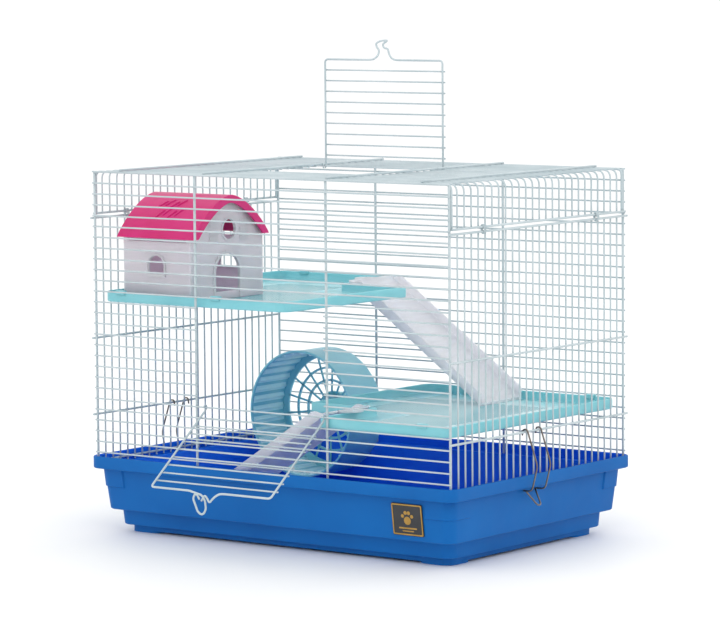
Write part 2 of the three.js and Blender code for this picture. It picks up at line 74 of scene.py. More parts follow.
# quads between neighbouring rows and columns of a grid of rows x columns points
def gridFaces(rows, columns, closeRows=False, closeColumns=False, start=0):
    rowSteps, columnSteps = np.arange(rows - (not closeRows)), np.arange(columns - (not closeColumns))
    i, j = np.meshgrid(rowSteps, columnSteps, indexing="ij")
    nextI, nextJ = (i + 1) % rows, (j + 1) % columns
    quads = np.stack([i * columns + j, i * columns + nextJ, nextI * columns + nextJ, nextI * columns + j], -1)
    return (quads.reshape(-1, 4) + start).tolist()


# the volume inside a closed body: each face is cut into a fan of triangles, and each triangle
# adds a sixth of p . (q x r); it comes out negative when the faces point inwards
def signedVolume(points, faces):
    total = 0.0
    for size in {len(face) for face in faces}:
        group = np.array([face for face in faces if len(face) == size])
        for k in range(1, size - 1):
            p, q, r = points[group[:, 0]], points[group[:, k]], points[group[:, k + 1]]
            total += np.einsum("ij,ij->", p, np.cross(q, r)) / 6
    return total


# several closed bodies gathered into one list of points and one of faces, all facing out
class Gather:
    def __init__(self):
        self.points, self.faces, self.count = [], [], 0

    def add(self, points, faces):
        points = np.asarray(points, float).reshape(-1, 3)
        if signedVolume(points - points.mean(axis=0), faces) < 0:
            faces = [face[::-1] for face in faces]
        self.points.append(points)
        self.faces.extend([[k + self.count for k in face] for face in faces])
        self.count += len(points)
        return self

    def piece(self, name, material, body, slot, nodes, smooth=True):
        return makePiece(name, np.concatenate(self.points), self.faces, material, body, nodes, smooth)


# a path with round corners: each corner becomes a quadratic curve that starts and ends a
# radius away from it, point = (1-t)^2 before + 2t(1-t) corner + t^2 after
def roundedPath(corners, radius, steps=5):
    corners = np.asarray(corners, float)
    before = corners[:-2] - corners[1:-1]
    after = corners[2:] - corners[1:-1]
    lengthBefore = np.linalg.norm(before, axis=1, keepdims=True)
    lengthAfter = np.linalg.norm(after, axis=1, keepdims=True)
    reach = np.minimum(radius, np.minimum(lengthBefore, lengthAfter) * 0.48)
    a = (corners[1:-1] + before / lengthBefore * reach)[:, None]
    b = (corners[1:-1] + after / lengthAfter * reach)[:, None]
    t = np.linspace(0, 1, steps)[None, :, None]
    bends = (1 - t) ** 2 * a + 2 * t * (1 - t) * corners[1:-1][:, None] + t ** 2 * b
    return np.concatenate([corners[:1], bends.reshape(-1, 3), corners[-1:]])


# a round wire along a path: the ring (cos a, sin a) is carried along it, square to its
# direction and turned as little as possible, and each end is a small dome
def wire(path, radius, sides=8):
    path = np.asarray(path, float)
    steps = np.diff(path, axis=0)
    steps /= np.linalg.norm(steps, axis=1, keepdims=True)
    direction = np.concatenate([steps[:1], steps[:-1] + steps[1:], steps[-1:]])
    direction /= np.linalg.norm(direction, axis=1, keepdims=True)
    aside = np.cross(direction[0], [0.31, 0.52, 0.79])
    asides = []
    for along in direction:  # one turn for each ring, not for each point
        aside = aside - along * aside.dot(along)
        aside = aside / np.linalg.norm(aside)
        asides.append(aside)
    asides = np.array(asides)
    others = np.cross(direction, asides)
    lead = radius * 0.45
    centres = np.concatenate([[path[0] - direction[0] * lead], path, [path[-1] + direction[-1] * lead]])
    asides = np.concatenate([asides[:1], asides, asides[-1:]])
    others = np.concatenate([others[:1], others, others[-1:]])
    size = np.full(len(centres), float(radius))
    size[[0, -1]] = radius * 0.6
    turn = np.arange(sides) * 2 * np.pi / sides
    ring = asides[:, None] * np.cos(turn)[None, :, None] + others[:, None] * np.sin(turn)[None, :, None]
    points = centres[:, None] + ring * size[:, None, None]
    faces = gridFaces(len(centres), sides, closeColumns=True)
    last = (len(centres) - 1) * sides
    faces.append(list(range(sides))[::-1])
    faces.append([last + k for k in range(sides)])
    return points, faces


# a closed skin between level loops: point(u, v) with u the level and v the way round
def shellOfLoops(loops):
    loops = np.asarray(loops)
    rows, columns = loops.shape[:2]
    faces = gridFaces(rows, columns, closeColumns=True)
    last = (rows - 1) * columns
    faces.append(list(range(columns))[::-1])
    faces.append([last + k for k in range(columns)])
    return loops, faces


padFade = 1.2  # a corner pad falls back to the plain wall over this many millimetres


# a rectangle with round corners, counter-clockwise: each corner is an arc about its centre
def roundLoop(halfX, halfY, z, radius, steps=10, extra=0.0, padX=0.0, padY=0.0):
    corners = []
    for signX, signY, start in ((1, -1, -90), (1, 1, 0), (-1, 1, 90), (-1, -1, 180)):
        angle = np.radians(start + 90 * np.linspace(0, 1, steps))
        arcX = signX * (halfX - radius) + (radius + extra) * np.cos(angle)
        arcY = signY * (halfY - radius) + (radius + extra) * np.sin(angle)
        ahead, behind = np.radians(start + 90), np.radians(start)
        inward = np.array([np.cos(behind - np.pi / 2), np.sin(behind - np.pi / 2)])
        outward = np.array([np.cos(ahead + np.pi / 2), np.sin(ahead + np.pi / 2)])
        # a corner pad reaches a way along both sides, then falls back to the plain wall
        first, final = np.array([arcX[0], arcY[0]]), np.array([arcX[-1], arcY[-1]])
        sinkFirst = -extra * np.array([np.cos(behind), np.sin(behind)])
        sinkFinal = -extra * np.array([np.cos(ahead), np.sin(ahead)])
        reachIn, reachOut = (padX, padY) if start % 180 else (padY, padX)
        lead = [first + inward * (reachIn + padFade) + sinkFirst, first + inward * reachIn]
        trail = [final + outward * reachOut, final + outward * (reachOut + padFade) + sinkFinal]
        arc = np.stack([arcX, arcY], -1)
        corners.append(np.concatenate([lead, arc, trail]) if padX or padY else arc)
    flat = np.concatenate(corners)
    return np.concatenate([flat, np.full((len(flat), 1), float(z))], axis=1)


# a block with rounded upright edges and a small roll at top and bottom
def roundBlock(x0, x1, y0, y1, z0, z1, radius, roll=0.4):
    middle = np.array([(x0 + x1) / 2, (y0 + y1) / 2, 0])
    halfX, halfY = (x1 - x0) / 2, (y1 - y0) / 2
    levels = [(roll, z0), (0, z0 + roll), (0, z1 - roll), (roll, z1)]
    loops = [roundLoop(halfX - inset, halfY - inset, z, radius - inset * 0.5, 5) + middle
             for inset, z in levels]
    return shellOfLoops(loops)


# a CAD node's own shape with its loose triangles merged and its edges rolled
def softenedNode(name, node, material, body, width):
    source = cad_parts[node]
    piece = bpy.data.objects.new(name, source.data.copy())
    bpy.context.collection.objects.link(piece)
    piece.data.materials.clear()
    piece.data.materials.append(material)
    work = bmesh.new()
    work.from_mesh(piece.data)
    bmesh.ops.remove_doubles(work, verts=work.verts, dist=1e-6)
    bmesh.ops.dissolve_limit(work, angle_limit=math.radians(2), verts=work.verts, edges=work.edges)
    work.to_mesh(piece.data)
    work.free()
    piece.data.polygons.foreach_set("use_smooth", [True] * len(piece.data.polygons))
    roll = piece.modifiers.new("rolledEdges", "BEVEL")
    roll.width = width * mm
    roll.segments = 2
    roll.limit_method = "ANGLE"
    roll.angle_limit = math.radians(40)
    roll.harden_normals = True
    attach(piece, body)
    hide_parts(node)
    return piece


# ---- material helpers

def linear(hexColour):  # sRGB hex to linear: x/12.92 in the toe, ((x+0.055)/1.055)^2.4 above it
    parts = [int(hexColour[k:k + 2], 16) / 255 for k in (1, 3, 5)]
    return tuple(p / 12.92 if p <= 0.04045 else ((p + 0.055) / 1.055) ** 2.4 for p in parts) + (1.0,)


def addNode(material, kind, settings=None, links=None):
    node = material.node_tree.nodes.new(kind)
    for key, value in (settings or {}).items():
        if hasattr(node, key):
            setattr(node, key, value)
        else:
            node.inputs[key].default_value = value
    for key, source in (links or {}).items():
        material.node_tree.links.new(source, node.inputs[key])
    return node


def newMaterial(name, settings):
    material = bpy.data.materials.new(name)
    material.use_nodes = True
    material.node_tree.nodes.clear()
    shader = addNode(material, "ShaderNodeBsdfPrincipled", settings)
    # these plastics scatter every colour equally far
    shader.inputs["Subsurface Radius"].default_value = (1, 1, 1)
    output = addNode(material, "ShaderNodeOutputMaterial")
    material.node_tree.links.new(shader.outputs["BSDF"], output.inputs["Surface"])
    return material, shader


# noise of one size in millimetres, read on Object coordinates
def noiseOf(material, sizeMm, detail=2.0, stretch=(1, 1, 1)):
    place = addNode(material, "ShaderNodeTexCoord")
    spread = addNode(material, "ShaderNodeMapping", {"Scale": stretch}, {"Vector": place.outputs["Object"]})
    return addNode(material, "ShaderNodeTexNoise", {"Scale": 1000.0 / sizeMm, "Detail": detail},
                   {"Vector": spread.outputs["Vector"]})


# colour drifts between two hex values, roughness between two numbers, and the grain is a bump
def weather(material, shader, colours, colourMm, roughness, roughMm, grainMm, grainDepthMm,
            stretch=(1, 1, 1)):
    tint = addNode(material, "ShaderNodeValToRGB", None, {"Fac": noiseOf(material, colourMm).outputs["Fac"]})
    for stop, position, colour in zip(tint.color_ramp.elements, (0.3, 0.7), colours):
        stop.position = position
        stop.color = linear(colour)
    gloss = addNode(material, "ShaderNodeMapRange", {"To Min": roughness[0], "To Max": roughness[1]},
                    {"Value": noiseOf(material, roughMm, 4.0, stretch).outputs["Fac"]})
    grain = addNode(material, "ShaderNodeBump", {"Strength": 0.5, "Distance": grainDepthMm * mm},
                    {"Height": noiseOf(material, grainMm, 2.0, stretch).outputs["Fac"]})
    links = material.node_tree.links
    links.new(tint.outputs["Color"], shader.inputs["Base Color"])
    links.new(gloss.outputs["Result"], shader.inputs["Roughness"])
    links.new(grain.outputs["Normal"], shader.inputs["Normal"])


# ---- materials

# injection-moulded polypropylene: satin, with a faint waxy glow and slow flow marks
bluePolypropylene, shader = newMaterial("bluePolypropylene", {
    "IOR": 1.49, "Subsurface Weight": 0.1, "Subsurface Scale": 0.004, "Specular IOR Level": 0.2})
weather(bluePolypropylene, shader, ("#005CA6", "#0066B2"), 90, (0.46, 0.6), 14, 0.9, 0.03)

# painted light: the tray's inside is painted a brighter blue, standing for daylight that comes through the
# thin wall and deepens its colour
bluePolypropyleneLit, shader = newMaterial("bluePolypropyleneLit", {
    "IOR": 1.49, "Subsurface Weight": 0.3, "Subsurface Scale": 0.004, "Specular IOR Level": 0.2})
weather(bluePolypropyleneLit, shader, ("#0868E4", "#1072EA"), 90, (0.5, 0.62), 14, 0.9, 0.03)

# powder-coated steel wire: pale mint, the melted powder leaves a fine orange peel
powderCoatedWire, shader = newMaterial("powderCoatedWire", {
    "IOR": 1.5, "Coat Weight": 0.25, "Coat Roughness": 0.2})
weather(powderCoatedWire, shader, ("#B0BFC4", "#C2CED2"), 40, (0.34, 0.5), 3, 0.7, 0.05)

# hard-drawn spring wire left bare: dark, with fine marks from the die
bareSpringSteel, shader = newMaterial("bareSpringSteel", {"Metallic": 1.0})
weather(bareSpringSteel, shader, ("#6E6760", "#8A827A"), 12, (0.26, 0.44), 1.5, 0.4, 0.02)

# moulded mint polystyrene: lets a little light through, so thin walls glow at their edges
mintPolystyrene, shader = newMaterial("mintPolystyrene", {
    "IOR": 1.5, "Transmission Weight": 0.1, "Subsurface Weight": 0.35, "Subsurface Scale": 0.005})
weather(mintPolystyrene, shader, ("#80CCD6", "#8FD6DF"), 60, (0.28, 0.42), 12, 1.1, 0.03)

# painted shade: the same mint plastic is painted a deeper teal where the holes cut through it, standing for
# the shade inside the holes
mintPolystyreneHoleShade, shader = newMaterial("mintPolystyreneHoleShade", {
    "IOR": 1.57, "Subsurface Weight": 0.2, "Subsurface Scale": 0.002})
weather(mintPolystyreneHoleShade, shader, ("#2F9AA6", "#3AA6B0"), 60, (0.35, 0.5), 12, 1.1, 0.03)

# and on top of the thin bars between the holes: a paler colour painted as a highlight, standing for the
# bright surroundings reflected at a low angle, on a glossier surface
mintPolystyreneBarHighlight, shader = newMaterial("mintPolystyreneBarHighlight", {"IOR": 1.57, "Specular IOR Level": 0.8})
weather(mintPolystyreneBarHighlight, shader, ("#B4E2E8", "#C2EAEE"), 60, (0.14, 0.22), 12, 1.1, 0.02)

# frosted polypropylene: milky, shapes behind it show only as a tint
frostedPolypropylene, shader = newMaterial("frostedPolypropylene", {
    "IOR": 1.35, "Transmission Weight": 0.35, "Subsurface Weight": 0.6, "Subsurface Scale": 0.008})
weather(frostedPolypropylene, shader, ("#EBEBF3", "#F3F2F8"), 50, (0.4, 0.55), 9, 0.8, 0.04)

# painted light: the same frosted plastic inside the house is tinted pink, standing for the light that comes
# in through the pink roof
frostedPolypropyleneLit, shader = newMaterial("frostedPolypropyleneLit", {
    "IOR": 1.35, "Transmission Weight": 0.35, "Subsurface Weight": 0.6, "Subsurface Scale": 0.008})
weather(frostedPolypropyleneLit, shader, ("#F6D2EA", "#FADCEF"), 50, (0.4, 0.55), 9, 0.8, 0.04)

# pink moulded polystyrene roof: strongly tinted and slightly see-through
pinkPolystyrene, shader = newMaterial("pinkPolystyrene", {
    "IOR": 1.49, "Transmission Weight": 0.15, "Subsurface Weight": 0.3, "Subsurface Scale": 0.003,
    "Specular IOR Level": 0.3})
weather(pinkPolystyrene, shader, ("#D81A74", "#E02882"), 45, (0.26, 0.4), 10, 1.0, 0.03)

# teal tinted polystyrene of the wheel: clear enough to show what is behind it
tealPolystyrene, shader = newMaterial("tealPolystyrene", {
    "IOR": 1.49, "Transmission Weight": 0.05, "Subsurface Weight": 0.45, "Subsurface Scale": 0.003})
weather(tealPolystyrene, shader, ("#84CCDA", "#90D3DF"), 40, (0.26, 0.36), 10, 1.2, 0.02)

# painted light: the drum's inside is painted pale on the rungs, standing for light through its wall; between
# them it keeps the deeper plain teal
tealPolystyreneLit, shader = newMaterial("tealPolystyreneLit", {
    "IOR": 1.49, "Transmission Weight": 0.05, "Subsurface Weight": 0.45, "Subsurface Scale": 0.003})
weather(tealPolystyreneLit, shader, ("#CDF3FA", "#D6F6FC"), 40, (0.26, 0.36), 10, 1.2, 0.02)

# printed foil label: black field, and the raised border and bars in brushed gold
blackFoil, shader = newMaterial("blackFoil", {"IOR": 1.5, "Coat Weight": 0.4, "Coat Roughness": 0.15})
weather(blackFoil, shader, ("#15161A", "#1E1F24"), 12, (0.28, 0.42), 4, 0.5, 0.02)
goldFoil, shader = newMaterial("goldFoil", {"Metallic": 1.0})
weather(goldFoil, shader, ("#B08A4A", "#C49C58"), 10, (0.28, 0.42), 2, 0.4, 0.02, (1, 1, 8))
print("materials made")


# ---- tray: level loops with round corners, outside from the foot up, then inside back down

# inFrom says how far each level stands in from the rim, along X and along Y
tray = {"corner": 12.0, "wall": 2.6, "rimBottom": 69.0, "step": 25.15, "baseTop": 7.9, "foot": 2.2,
        "padFrom": 50.0, "padReachX": 18.0, "padReachY": 20.0, "padProud": 1.5, "footX": 42.0, "footY": 40.0,
        "rollOut": 1.1, "footInto": 0.8,
        "inFrom": {"foot": (26.9, 33.3), "base": (20.6, 25.6), "baseEdge": (20, 23.6),
                   "wallFoot": (11.2, 14), "wallTop": (8.2, 8.2), "rim": (0, 0)}}
wallLean = [(foot - top) / (tray["rimBottom"] - tray["step"])
            for foot, top in zip(tray["inFrom"]["wallFoot"], tray["inFrom"]["wallTop"])]


def buildTray():
    high = nodeBox("tray")[1]
    halfX, halfY, top = high[0], high[1], high[2]
    wall, rimBottom, step, base, foot = (tray[k] for k in ("wall", "rimBottom", "step", "baseTop", "foot"))
    roll, padZ, proud = tray["rollOut"], tray["padFrom"], tray["padProud"]
    padIn = [at + lean * (rimBottom - padZ) for at, lean in zip(tray["inFrom"]["wallTop"], wallLean)]
    inFrom = {**tray["inFrom"], "pad": padIn}

    # each level: how far in along X and Y, the height, and how proud the corner pad stands; the
    # small numbers round the edges
    def level(name, z, moreX=0.0, moreY=0.0, out=0.0):
        return inFrom[name][0] + moreX, inFrom[name][1] + moreY, z, out

    outside = [
        level("foot", foot, 0.6, 0.6), level("foot", foot + 0.6), level("foot", base - 0.5),
        level("foot", base, -0.7, -0.7), level("base", base + 0.3, 0.6, 0.8), level("base", base + 1.1),
        level("baseEdge", step - 1.2), level("baseEdge", step - 0.5, -0.7, -0.8),
        level("wallFoot", step, 0.8, 0.9), level("wallFoot", step + 0.9), level("pad", padZ - 0.8),
        level("pad", padZ, out=proud), level("wallTop", rimBottom - 0.6, 0.3, 0.4, proud),
        level("wallTop", rimBottom, -0.2, -0.2, proud * 0.3), level("rim", rimBottom + 0.2, roll, roll),
        level("rim", rimBottom + 0.7, 0.3, 0.3), level("rim", rimBottom + 1.6), level("rim", top - 1.2),
        level("rim", top - 0.35, 0.35, 0.35), level("rim", top, 1.2, 1.2)]
    inside = [level("rim", top - 0.2, wall - 0.5, wall - 0.5), level("rim", top - 0.9, wall, wall)]
    # below the rim's edge the inside is the outside moved in and up by the wall
    inside += [(x + wall, y + wall, z + wall, out) for x, y, z, out in (
        level("rim", rimBottom + 1), level("rim", rimBottom + 0.2, 0.8, 0.8),
        level("wallTop", rimBottom, -0.6, -0.6), level("wallTop", rimBottom - 1, 0.1, 0.2),
        level("wallFoot", step + 0.9), level("wallFoot", step, 0.8, 0.9),
        level("baseEdge", step - 0.4, -0.7, -0.8), level("baseEdge", step - 1.2), level("base", base + 1),
        level("base", base + 0.2, 0.8, 1.0), level("foot", base, -0.7, -0.7), level("foot", base - 0.7),
        level("foot", foot + 0.3, 0.6, 0.6), level("foot", foot, 2.1, 2.1))]
    radius = [tray["corner"]] * len(outside) + [tray["corner"] - wall] * len(inside)
    loops = [roundLoop(halfX - x, halfY - y, z, r, 9, extra, tray["padReachX"], tray["padReachY"])
             for (x, y, z, extra), r in zip(outside + inside, radius)]
    body = Gather().add(*shellOfLoops(loops))
    footX, footY = halfX - inFrom["foot"][0], halfY - inFrom["foot"][1]
    for signX in (-1, 1):
        for signY in (-1, 1):
            xs = sorted((signX * footX, signX * (footX - tray["footX"])))
            ys = sorted((signY * footY, signY * (footY - tray["footY"])))
            body.add(*roundBlock(*xs, *ys, 0, foot + tray["footInto"], tray["corner"], 0.5))
    piece = body.piece("trayBasin", bluePolypropylene, "root", "tray_blue", ["tray"])
    # bands of faces from the first inside loop on, and the floor that closes the last loop: these take the
    # inside blue with its painted light
    piece.data.materials.append(bluePolypropyleneLit)
    around = len(loops[0])
    slots = np.zeros(len(piece.data.polygons), int)
    slots[len(outside) * around:(len(loops) - 1) * around] = 1
    slots[(len(loops) - 1) * around + 1] = 1
    piece.data.polygons.foreach_set("material_index", slots)
    shade(piece)


def shade(piece, degrees=35):  # smooth shading with sharp edges kept where faces turn more than this
    mesh = piece.data
    mesh.polygons.foreach_set("use_smooth", [True] * len(mesh.polygons))
    mesh.set_sharp_from_angle(angle=math.radians(degrees))


# ---- nameplate: a rolled plate with a raised border, a paw print and two plain bars, leaning
# with the wall; the heights are measured out from its middle

plate = {"border": 1.3, "inset": 0.64, "bars": ((-11, 11, -9.6, -8.0), (-7, 7, -12.4, -11.2)),
         "paw": ((0, -1.0, 4.2), (-5.6, 3.6, 1.9), (-2.0, 7.0, 2.0), (2.0, 7.0, 2.0), (5.6, 3.6, 1.9)),
         "back": -0.5, "face": 0.35, "goldFrom": 0.2, "goldTo": 0.55, "borderTo": 0.6,
         "lean": math.atan(wallLean[1])}


def buildNameplate():
    low, high = nodeBox("nameplate")
    halfX = (high[0] - low[0]) / 2
    halfZ = (high[2] - low[2]) / 2 / math.cos(plate["lean"]) - 0.1
    middle = (low + high) / 2
    turn = np.array(Matrix.Rotation(plate["lean"] + math.pi / 2, 3, "X"))

    def standUp(shape):  # flat in X and Y, thick along Z, then stood on the sloping wall
        points, faces = shape
        return points.reshape(-1, 3) @ turn.T + middle, faces

    back, face, goldFrom, goldTo = (plate[k] for k in ("back", "face", "goldFrom", "goldTo"))
    Gather().add(*standUp(roundBlock(-halfX, halfX, -halfZ, halfZ, back, face, 1.6, 0.15))).piece(
        "nameplateField", blackFoil, "root", "plate_black", ["nameplate"], False)
    inset, width, borderTo = plate["inset"], plate["border"], plate["borderTo"]
    outer = roundLoop(halfX - inset, halfZ - inset, 0, 1.4, 5)
    inner = roundLoop(halfX - inset - width, halfZ - inset - width, 0, 0.8, 5)
    rows = np.array([outer + [0, 0, goldFrom], outer + [0, 0, borderTo],
                     inner + [0, 0, borderTo], inner + [0, 0, goldFrom]])
    faces = gridFaces(*rows.shape[:2], closeRows=True, closeColumns=True)
    gold = Gather().add(*standUp((rows, faces)))
    for x0, x1, y0, y1 in plate["bars"]:
        gold.add(*standUp(roundBlock(x0, x1, y0, y1, goldFrom, goldTo, 0.6, 0.1)))
    for x, y, r in plate["paw"]:
        gold.add(*standUp(roundBlock(x - r, x + r, y - r, y + r, goldFrom, goldTo, r * 0.98, 0.1)))
    gold.piece("nameplateBorder", goldFoil, "root", "plate_black", [], False)


buildTray()
buildNameplate()
print("tray and nameplate made")


# ---- wire grilles

# the lengths ending in In stop a wire short of its CAD bar's end, because a wire ends in a dome
grille = {
    "thin": 0.9, "post": 1.35, "cross": 1.2, "edge": 1.25, "pitch": 11.38, "rows": 26, "topRow": 370.9,
    "upright": 11.94, "half": 12, "posts": (-229, -93.4, 76.5, 229), "roofCross": (-195, -83, 77, 195),
    "sideCross": (333.9, 207, 126, 76), "skirtFoot": 338.6, "bend": 9.0, "edgeBend": 6.0,
    "doorLeft": -80.3, "doorRight": 73.9, "doorGaps": 10, "frontHinge": 20, "roofHinge": 4,
    "level": 1.0, "wireY": 158.2, "behind": 2.3, "endIn": 0.4,
    "stubLeft": 2.6, "stubRight": 2.0, "stubRoof": 0.8,
    "sideX": 229.5, "crossX": 231.7, "roofZ": 382.9, "crossZ": 385.0, "edgeY": 152.9, "edgeDrop": 0.2,
    "reachLow": 149.4, "reachHigh": 159.6, "lowCross": 80, "footIn": 0.6, "sideFootIn": 0.5,
    "postIn": 1.2, "sideIn": 1.0, "sideExtra": 0.08}


def levelZ(row):
    return grille["topRow"] - grille["pitch"] * row


def buildEndGrille(name, node, side, openRows):
    low, high = nodeBox(node)
    outer = high[1] if side > 0 else low[1]
    wireY = outer - side * grille["level"]
    postY = wireY - side * grille["behind"]
    reach, top, foot = high[0] - grille["endIn"], high[2], low[2]
    posts = grille["posts"]
    mesh = Gather()
    for x in posts:
        ends = [(x, postY, foot + grille["footIn"]), (x, postY, top - grille["postIn"])]
        mesh.add(*wire(ends, grille["post"], 12))
    edgeZ = top - grille["level"]
    mesh.add(*wire([(-reach, wireY, edgeZ), (reach, wireY, edgeZ)], grille["thin"]))
    stubs = [(-reach, posts[1] + grille["stubLeft"]), (posts[2] - grille["stubRight"], reach)]
    for row in range(grille["rows"]):
        z = levelZ(row)
        for x0, x1 in stubs if row in openRows else [(-reach, reach)]:
            mesh.add(*wire([(x0, wireY, z), (x1, wireY, z)], grille["thin"]))
    mesh.piece(name, powderCoatedWire, "root", "coated_wire", [node])


# upright wires, and the cross wires outside them
def buildSideGrille(name, node, side):
    low, high = nodeBox(node)
    x = side * grille["sideX"]
    crossX = side * grille["crossX"]
    foot, top = low[2] + grille["sideFootIn"], high[2] - grille["sideIn"]
    mesh = Gather()
    pitch, half = grille["upright"], grille["half"]
    for k in range(-half, half + 1):
        y = k * pitch
        mesh.add(*wire([(x, y, foot), (x, y, top)], grille["thin"] + grille["sideExtra"]))
    for z in grille["sideCross"]:
        reach = grille["reachLow"] if z < grille["lowCross"] else grille["reachHigh"]
        mesh.add(*wire([(crossX, -reach, z), (crossX, reach, z)], grille["cross"]))
    mesh.piece(name, powderCoatedWire, "root", "coated_wire", [node])


# the roof's wires run over the top and bend down into both skirts
def buildRoof():
    low, high = nodeBox("roof_panel")
    x, top, crossZ, endIn = grille["sideX"], grille["roofZ"], grille["crossZ"], grille["footIn"]
    foot = grille["skirtFoot"]
    end = foot - endIn
    pitch, half, hinge = grille["upright"], grille["half"], grille["roofHinge"]
    cross = grille["roofCross"]
    skirtX = grille["crossX"]
    mesh = Gather()

    def over(y, radius, drop=0.0):  # one skirt, the run over the top and the other skirt
        z = top - drop
        return roundedPath([(-x, y, end), (-x, y, z), (x, y, z), (x, y, end)], radius, 7)

    for k in range(-half, half + 1):
        y = k * pitch
        if hinge - grille["doorGaps"] < k < hinge:
            for side, inner in ((-1, cross[1]), (1, cross[2])):
                inner -= side * grille["stubRoof"]
                corners = [(side * x, y, end), (side * x, y, top), (inner, y, top)]
                mesh.add(*wire(roundedPath(corners, grille["bend"], 7), grille["thin"]))
        else:
            mesh.add(*wire(over(y, grille["bend"]), grille["thin"]))
    for y in (-grille["edgeY"], grille["edgeY"]):
        mesh.add(*wire(over(y, grille["edgeBend"], grille["edgeDrop"]), grille["edge"], 12))
    front, back = low[1] + endIn, high[1] - endIn
    for at in cross:
        mesh.add(*wire([(at, front, crossZ), (at, back, crossZ)], grille["cross"], 10))
    skirtBack = high[1] - grille["sideIn"]
    for at in (-skirtX, skirtX):
        mesh.add(*wire([(at, front, foot), (at, skirtBack, foot)], grille["cross"], 10))
    mesh.piece("roofGrille", powderCoatedWire, "root", "coated_wire", ["roof_panel"])


hingeRow, gaps = grille["frontHinge"], grille["doorGaps"]
buildEndGrille("frontGrille", "front_panel", -1, range(hingeRow - gaps + 1, hingeRow))
buildEndGrille("backGrille", "back_panel", 1, ())
buildSideGrille("leftGrille", "left_side_panel", -1)
buildSideGrille("rightGrille", "right_side_panel", 1)
buildRoof()

foldClip = {"turns": 2.5, "steps": 60, "halfX": 2.25, "halfZ": 4.5, "halfY": 2.4, "radius": 0.6}


# a wire wound round the two wires of the fold: an ellipse across, moving steadily along Y
def buildFoldClip(side, end, node):
    low, high = nodeBox(node)
    middle = (low + high) / 2
    turn = np.linspace(0, foldClip["turns"] * 2 * math.pi, foldClip["steps"])
    along = np.linspace(-1, 1, foldClip["steps"]) * foldClip["halfY"]
    across, up = foldClip["halfX"] * np.cos(turn), foldClip["halfZ"] * np.sin(turn)
    path = np.stack([across * side, along * end, up], -1)
    Gather().add(*wire(path + middle, foldClip["radius"], 8)).piece(
        node.replace("fold_clip", "foldClip"), powderCoatedWire, "root", "coated_wire", [node])


for side, word in ((-1, "left"), (1, "right")):
    for end, where in ((-1, "front"), (1, "rear")):
        buildFoldClip(side, end, "fold_clip_" + word + "_" + where)
print("grilles made")


# ---- doors: a frame wire that rings its hinge, level rods, and a latch bent in its top edge

door = {"wire": 1.1, "offset": 2.6, "rod": 0.85, "rodReach": 1.6, "rodOut": 2.05, "foot": 2.6, "corner": 4.0,
        "ring": 2.5, "ringWire": 0.75, "ringTurn": 150, "ringSteps": 20, "tabLean": math.radians(40),
        "frontOpen": 128}


def buildDoor(name, node, body, hinge, openDegrees, side, latches):
    left, right = grille["doorLeft"], grille["doorRight"]
    height = grille["doorGaps"] * grille["pitch"]
    y = side * door["offset"]
    rodY = side * (door["offset"] + door["rodOut"])
    turn = np.array(Matrix.Rotation(math.radians(openDegrees), 3, "X"))
    mesh = Gather()

    def addWire(corners, radius, bend, sides=10, rounded=True):
        path = roundedPath(corners, bend, 6) if rounded else np.asarray(corners, float)
        mesh.add(*wire(path @ turn.T + np.array(hinge), radius, sides))

    for x, ends in ((left, latches[0]), (right, latches[1])):
        lean = door["tabLean"] if side < 0 else 0.0
        tab = [(px, y + side * t * math.sin(lean), height + t * math.cos(lean)) for px, t in ends]
        addWire([(x, y, door["foot"]), (x, y, height)] + tab, door["wire"], door["corner"])
        # the ring round the hinge wire is open where the side wire leaves it
        sweep = np.linspace(-door["ringTurn"], door["ringTurn"], door["ringSteps"])
        angle = np.radians(sweep) + math.pi / 2 * side
        ring = np.stack([np.zeros_like(angle), np.cos(angle), np.sin(angle)], -1) * door["ring"]
        addWire(ring + [x, 0, 0], door["ringWire"], 0, 8, False)
    for row in range(1, grille["doorGaps"]):
        z = height - row * grille["pitch"]
        rod = [(left - door["rodReach"], rodY, z), (right + door["rodReach"], rodY, z)]
        addWire(rod, door["rod"], 0, 8, False)
    mesh.piece(name, powderCoatedWire, body, "coated_wire", [node])


frontHinge = (0, -grille["wireY"], levelZ(grille["frontHinge"]))
roofHinge = (0, grille["roofHinge"] * grille["upright"], grille["roofZ"])
# the front latch's wire turns out into a long finger loop that closes on itself, and the
# other end kinks once and stops inside the loop; places along the edge and out along the tab
frontLatch = ([(-30, 0), (-24.5, 1.2), (-13.5, 3.2), (-8.5, 8), (-5.6, 17.5), (-9.4, 23.2), (-15.6, 20.8),
               (-24.0, 7.5), (-22.6, 3.2), (-19.5, 3.0), (-16, 7.5)],
              [(14, 0), (8.5, 0.6), (2.2, 4.5), (-2.6, 10.6), (-6.0, 6.0), (-9.8, 3.0), (-12.9, 9.0)])
# the roof latch is two hooks that face each other
roofLatch = ([(-22, 0), (-15, 0.6), (-9.5, 5), (-8.2, 10.5), (-11.5, 13.5), (-12.6, 17.2), (-6.5, 20.4),
              (2.2, 20.6)],
             [(14, 0), (8.4, 1.2), (4.6, 6), (3.4, 12), (-1.6, 12.4), (-3.8, 15.8), (-1.4, 18.2),
              (2.2, 20.2)])
buildDoor("frontDoor", "front_door", "front_door", frontHinge, door["frontOpen"], -1, frontLatch)
buildDoor("roofDoor", "top_door", "top_door", roofHinge, 0, 1, roofLatch)

# ---- tray clips: two sprung arms over the low cross wire, joined by a finger loop under the rim

# places out from the cross wire and up from it; the loop's two straight stretches are twice turn
clip = {"radius": 0.88, "bend": 5.0, "y": -17.91, "z": 126.0, "hook": 3.4, "over": 2.6, "bow": (15, -34),
        "foot": (8, -60), "footIn": -2.4, "tip": (9, -75), "turn": 3}


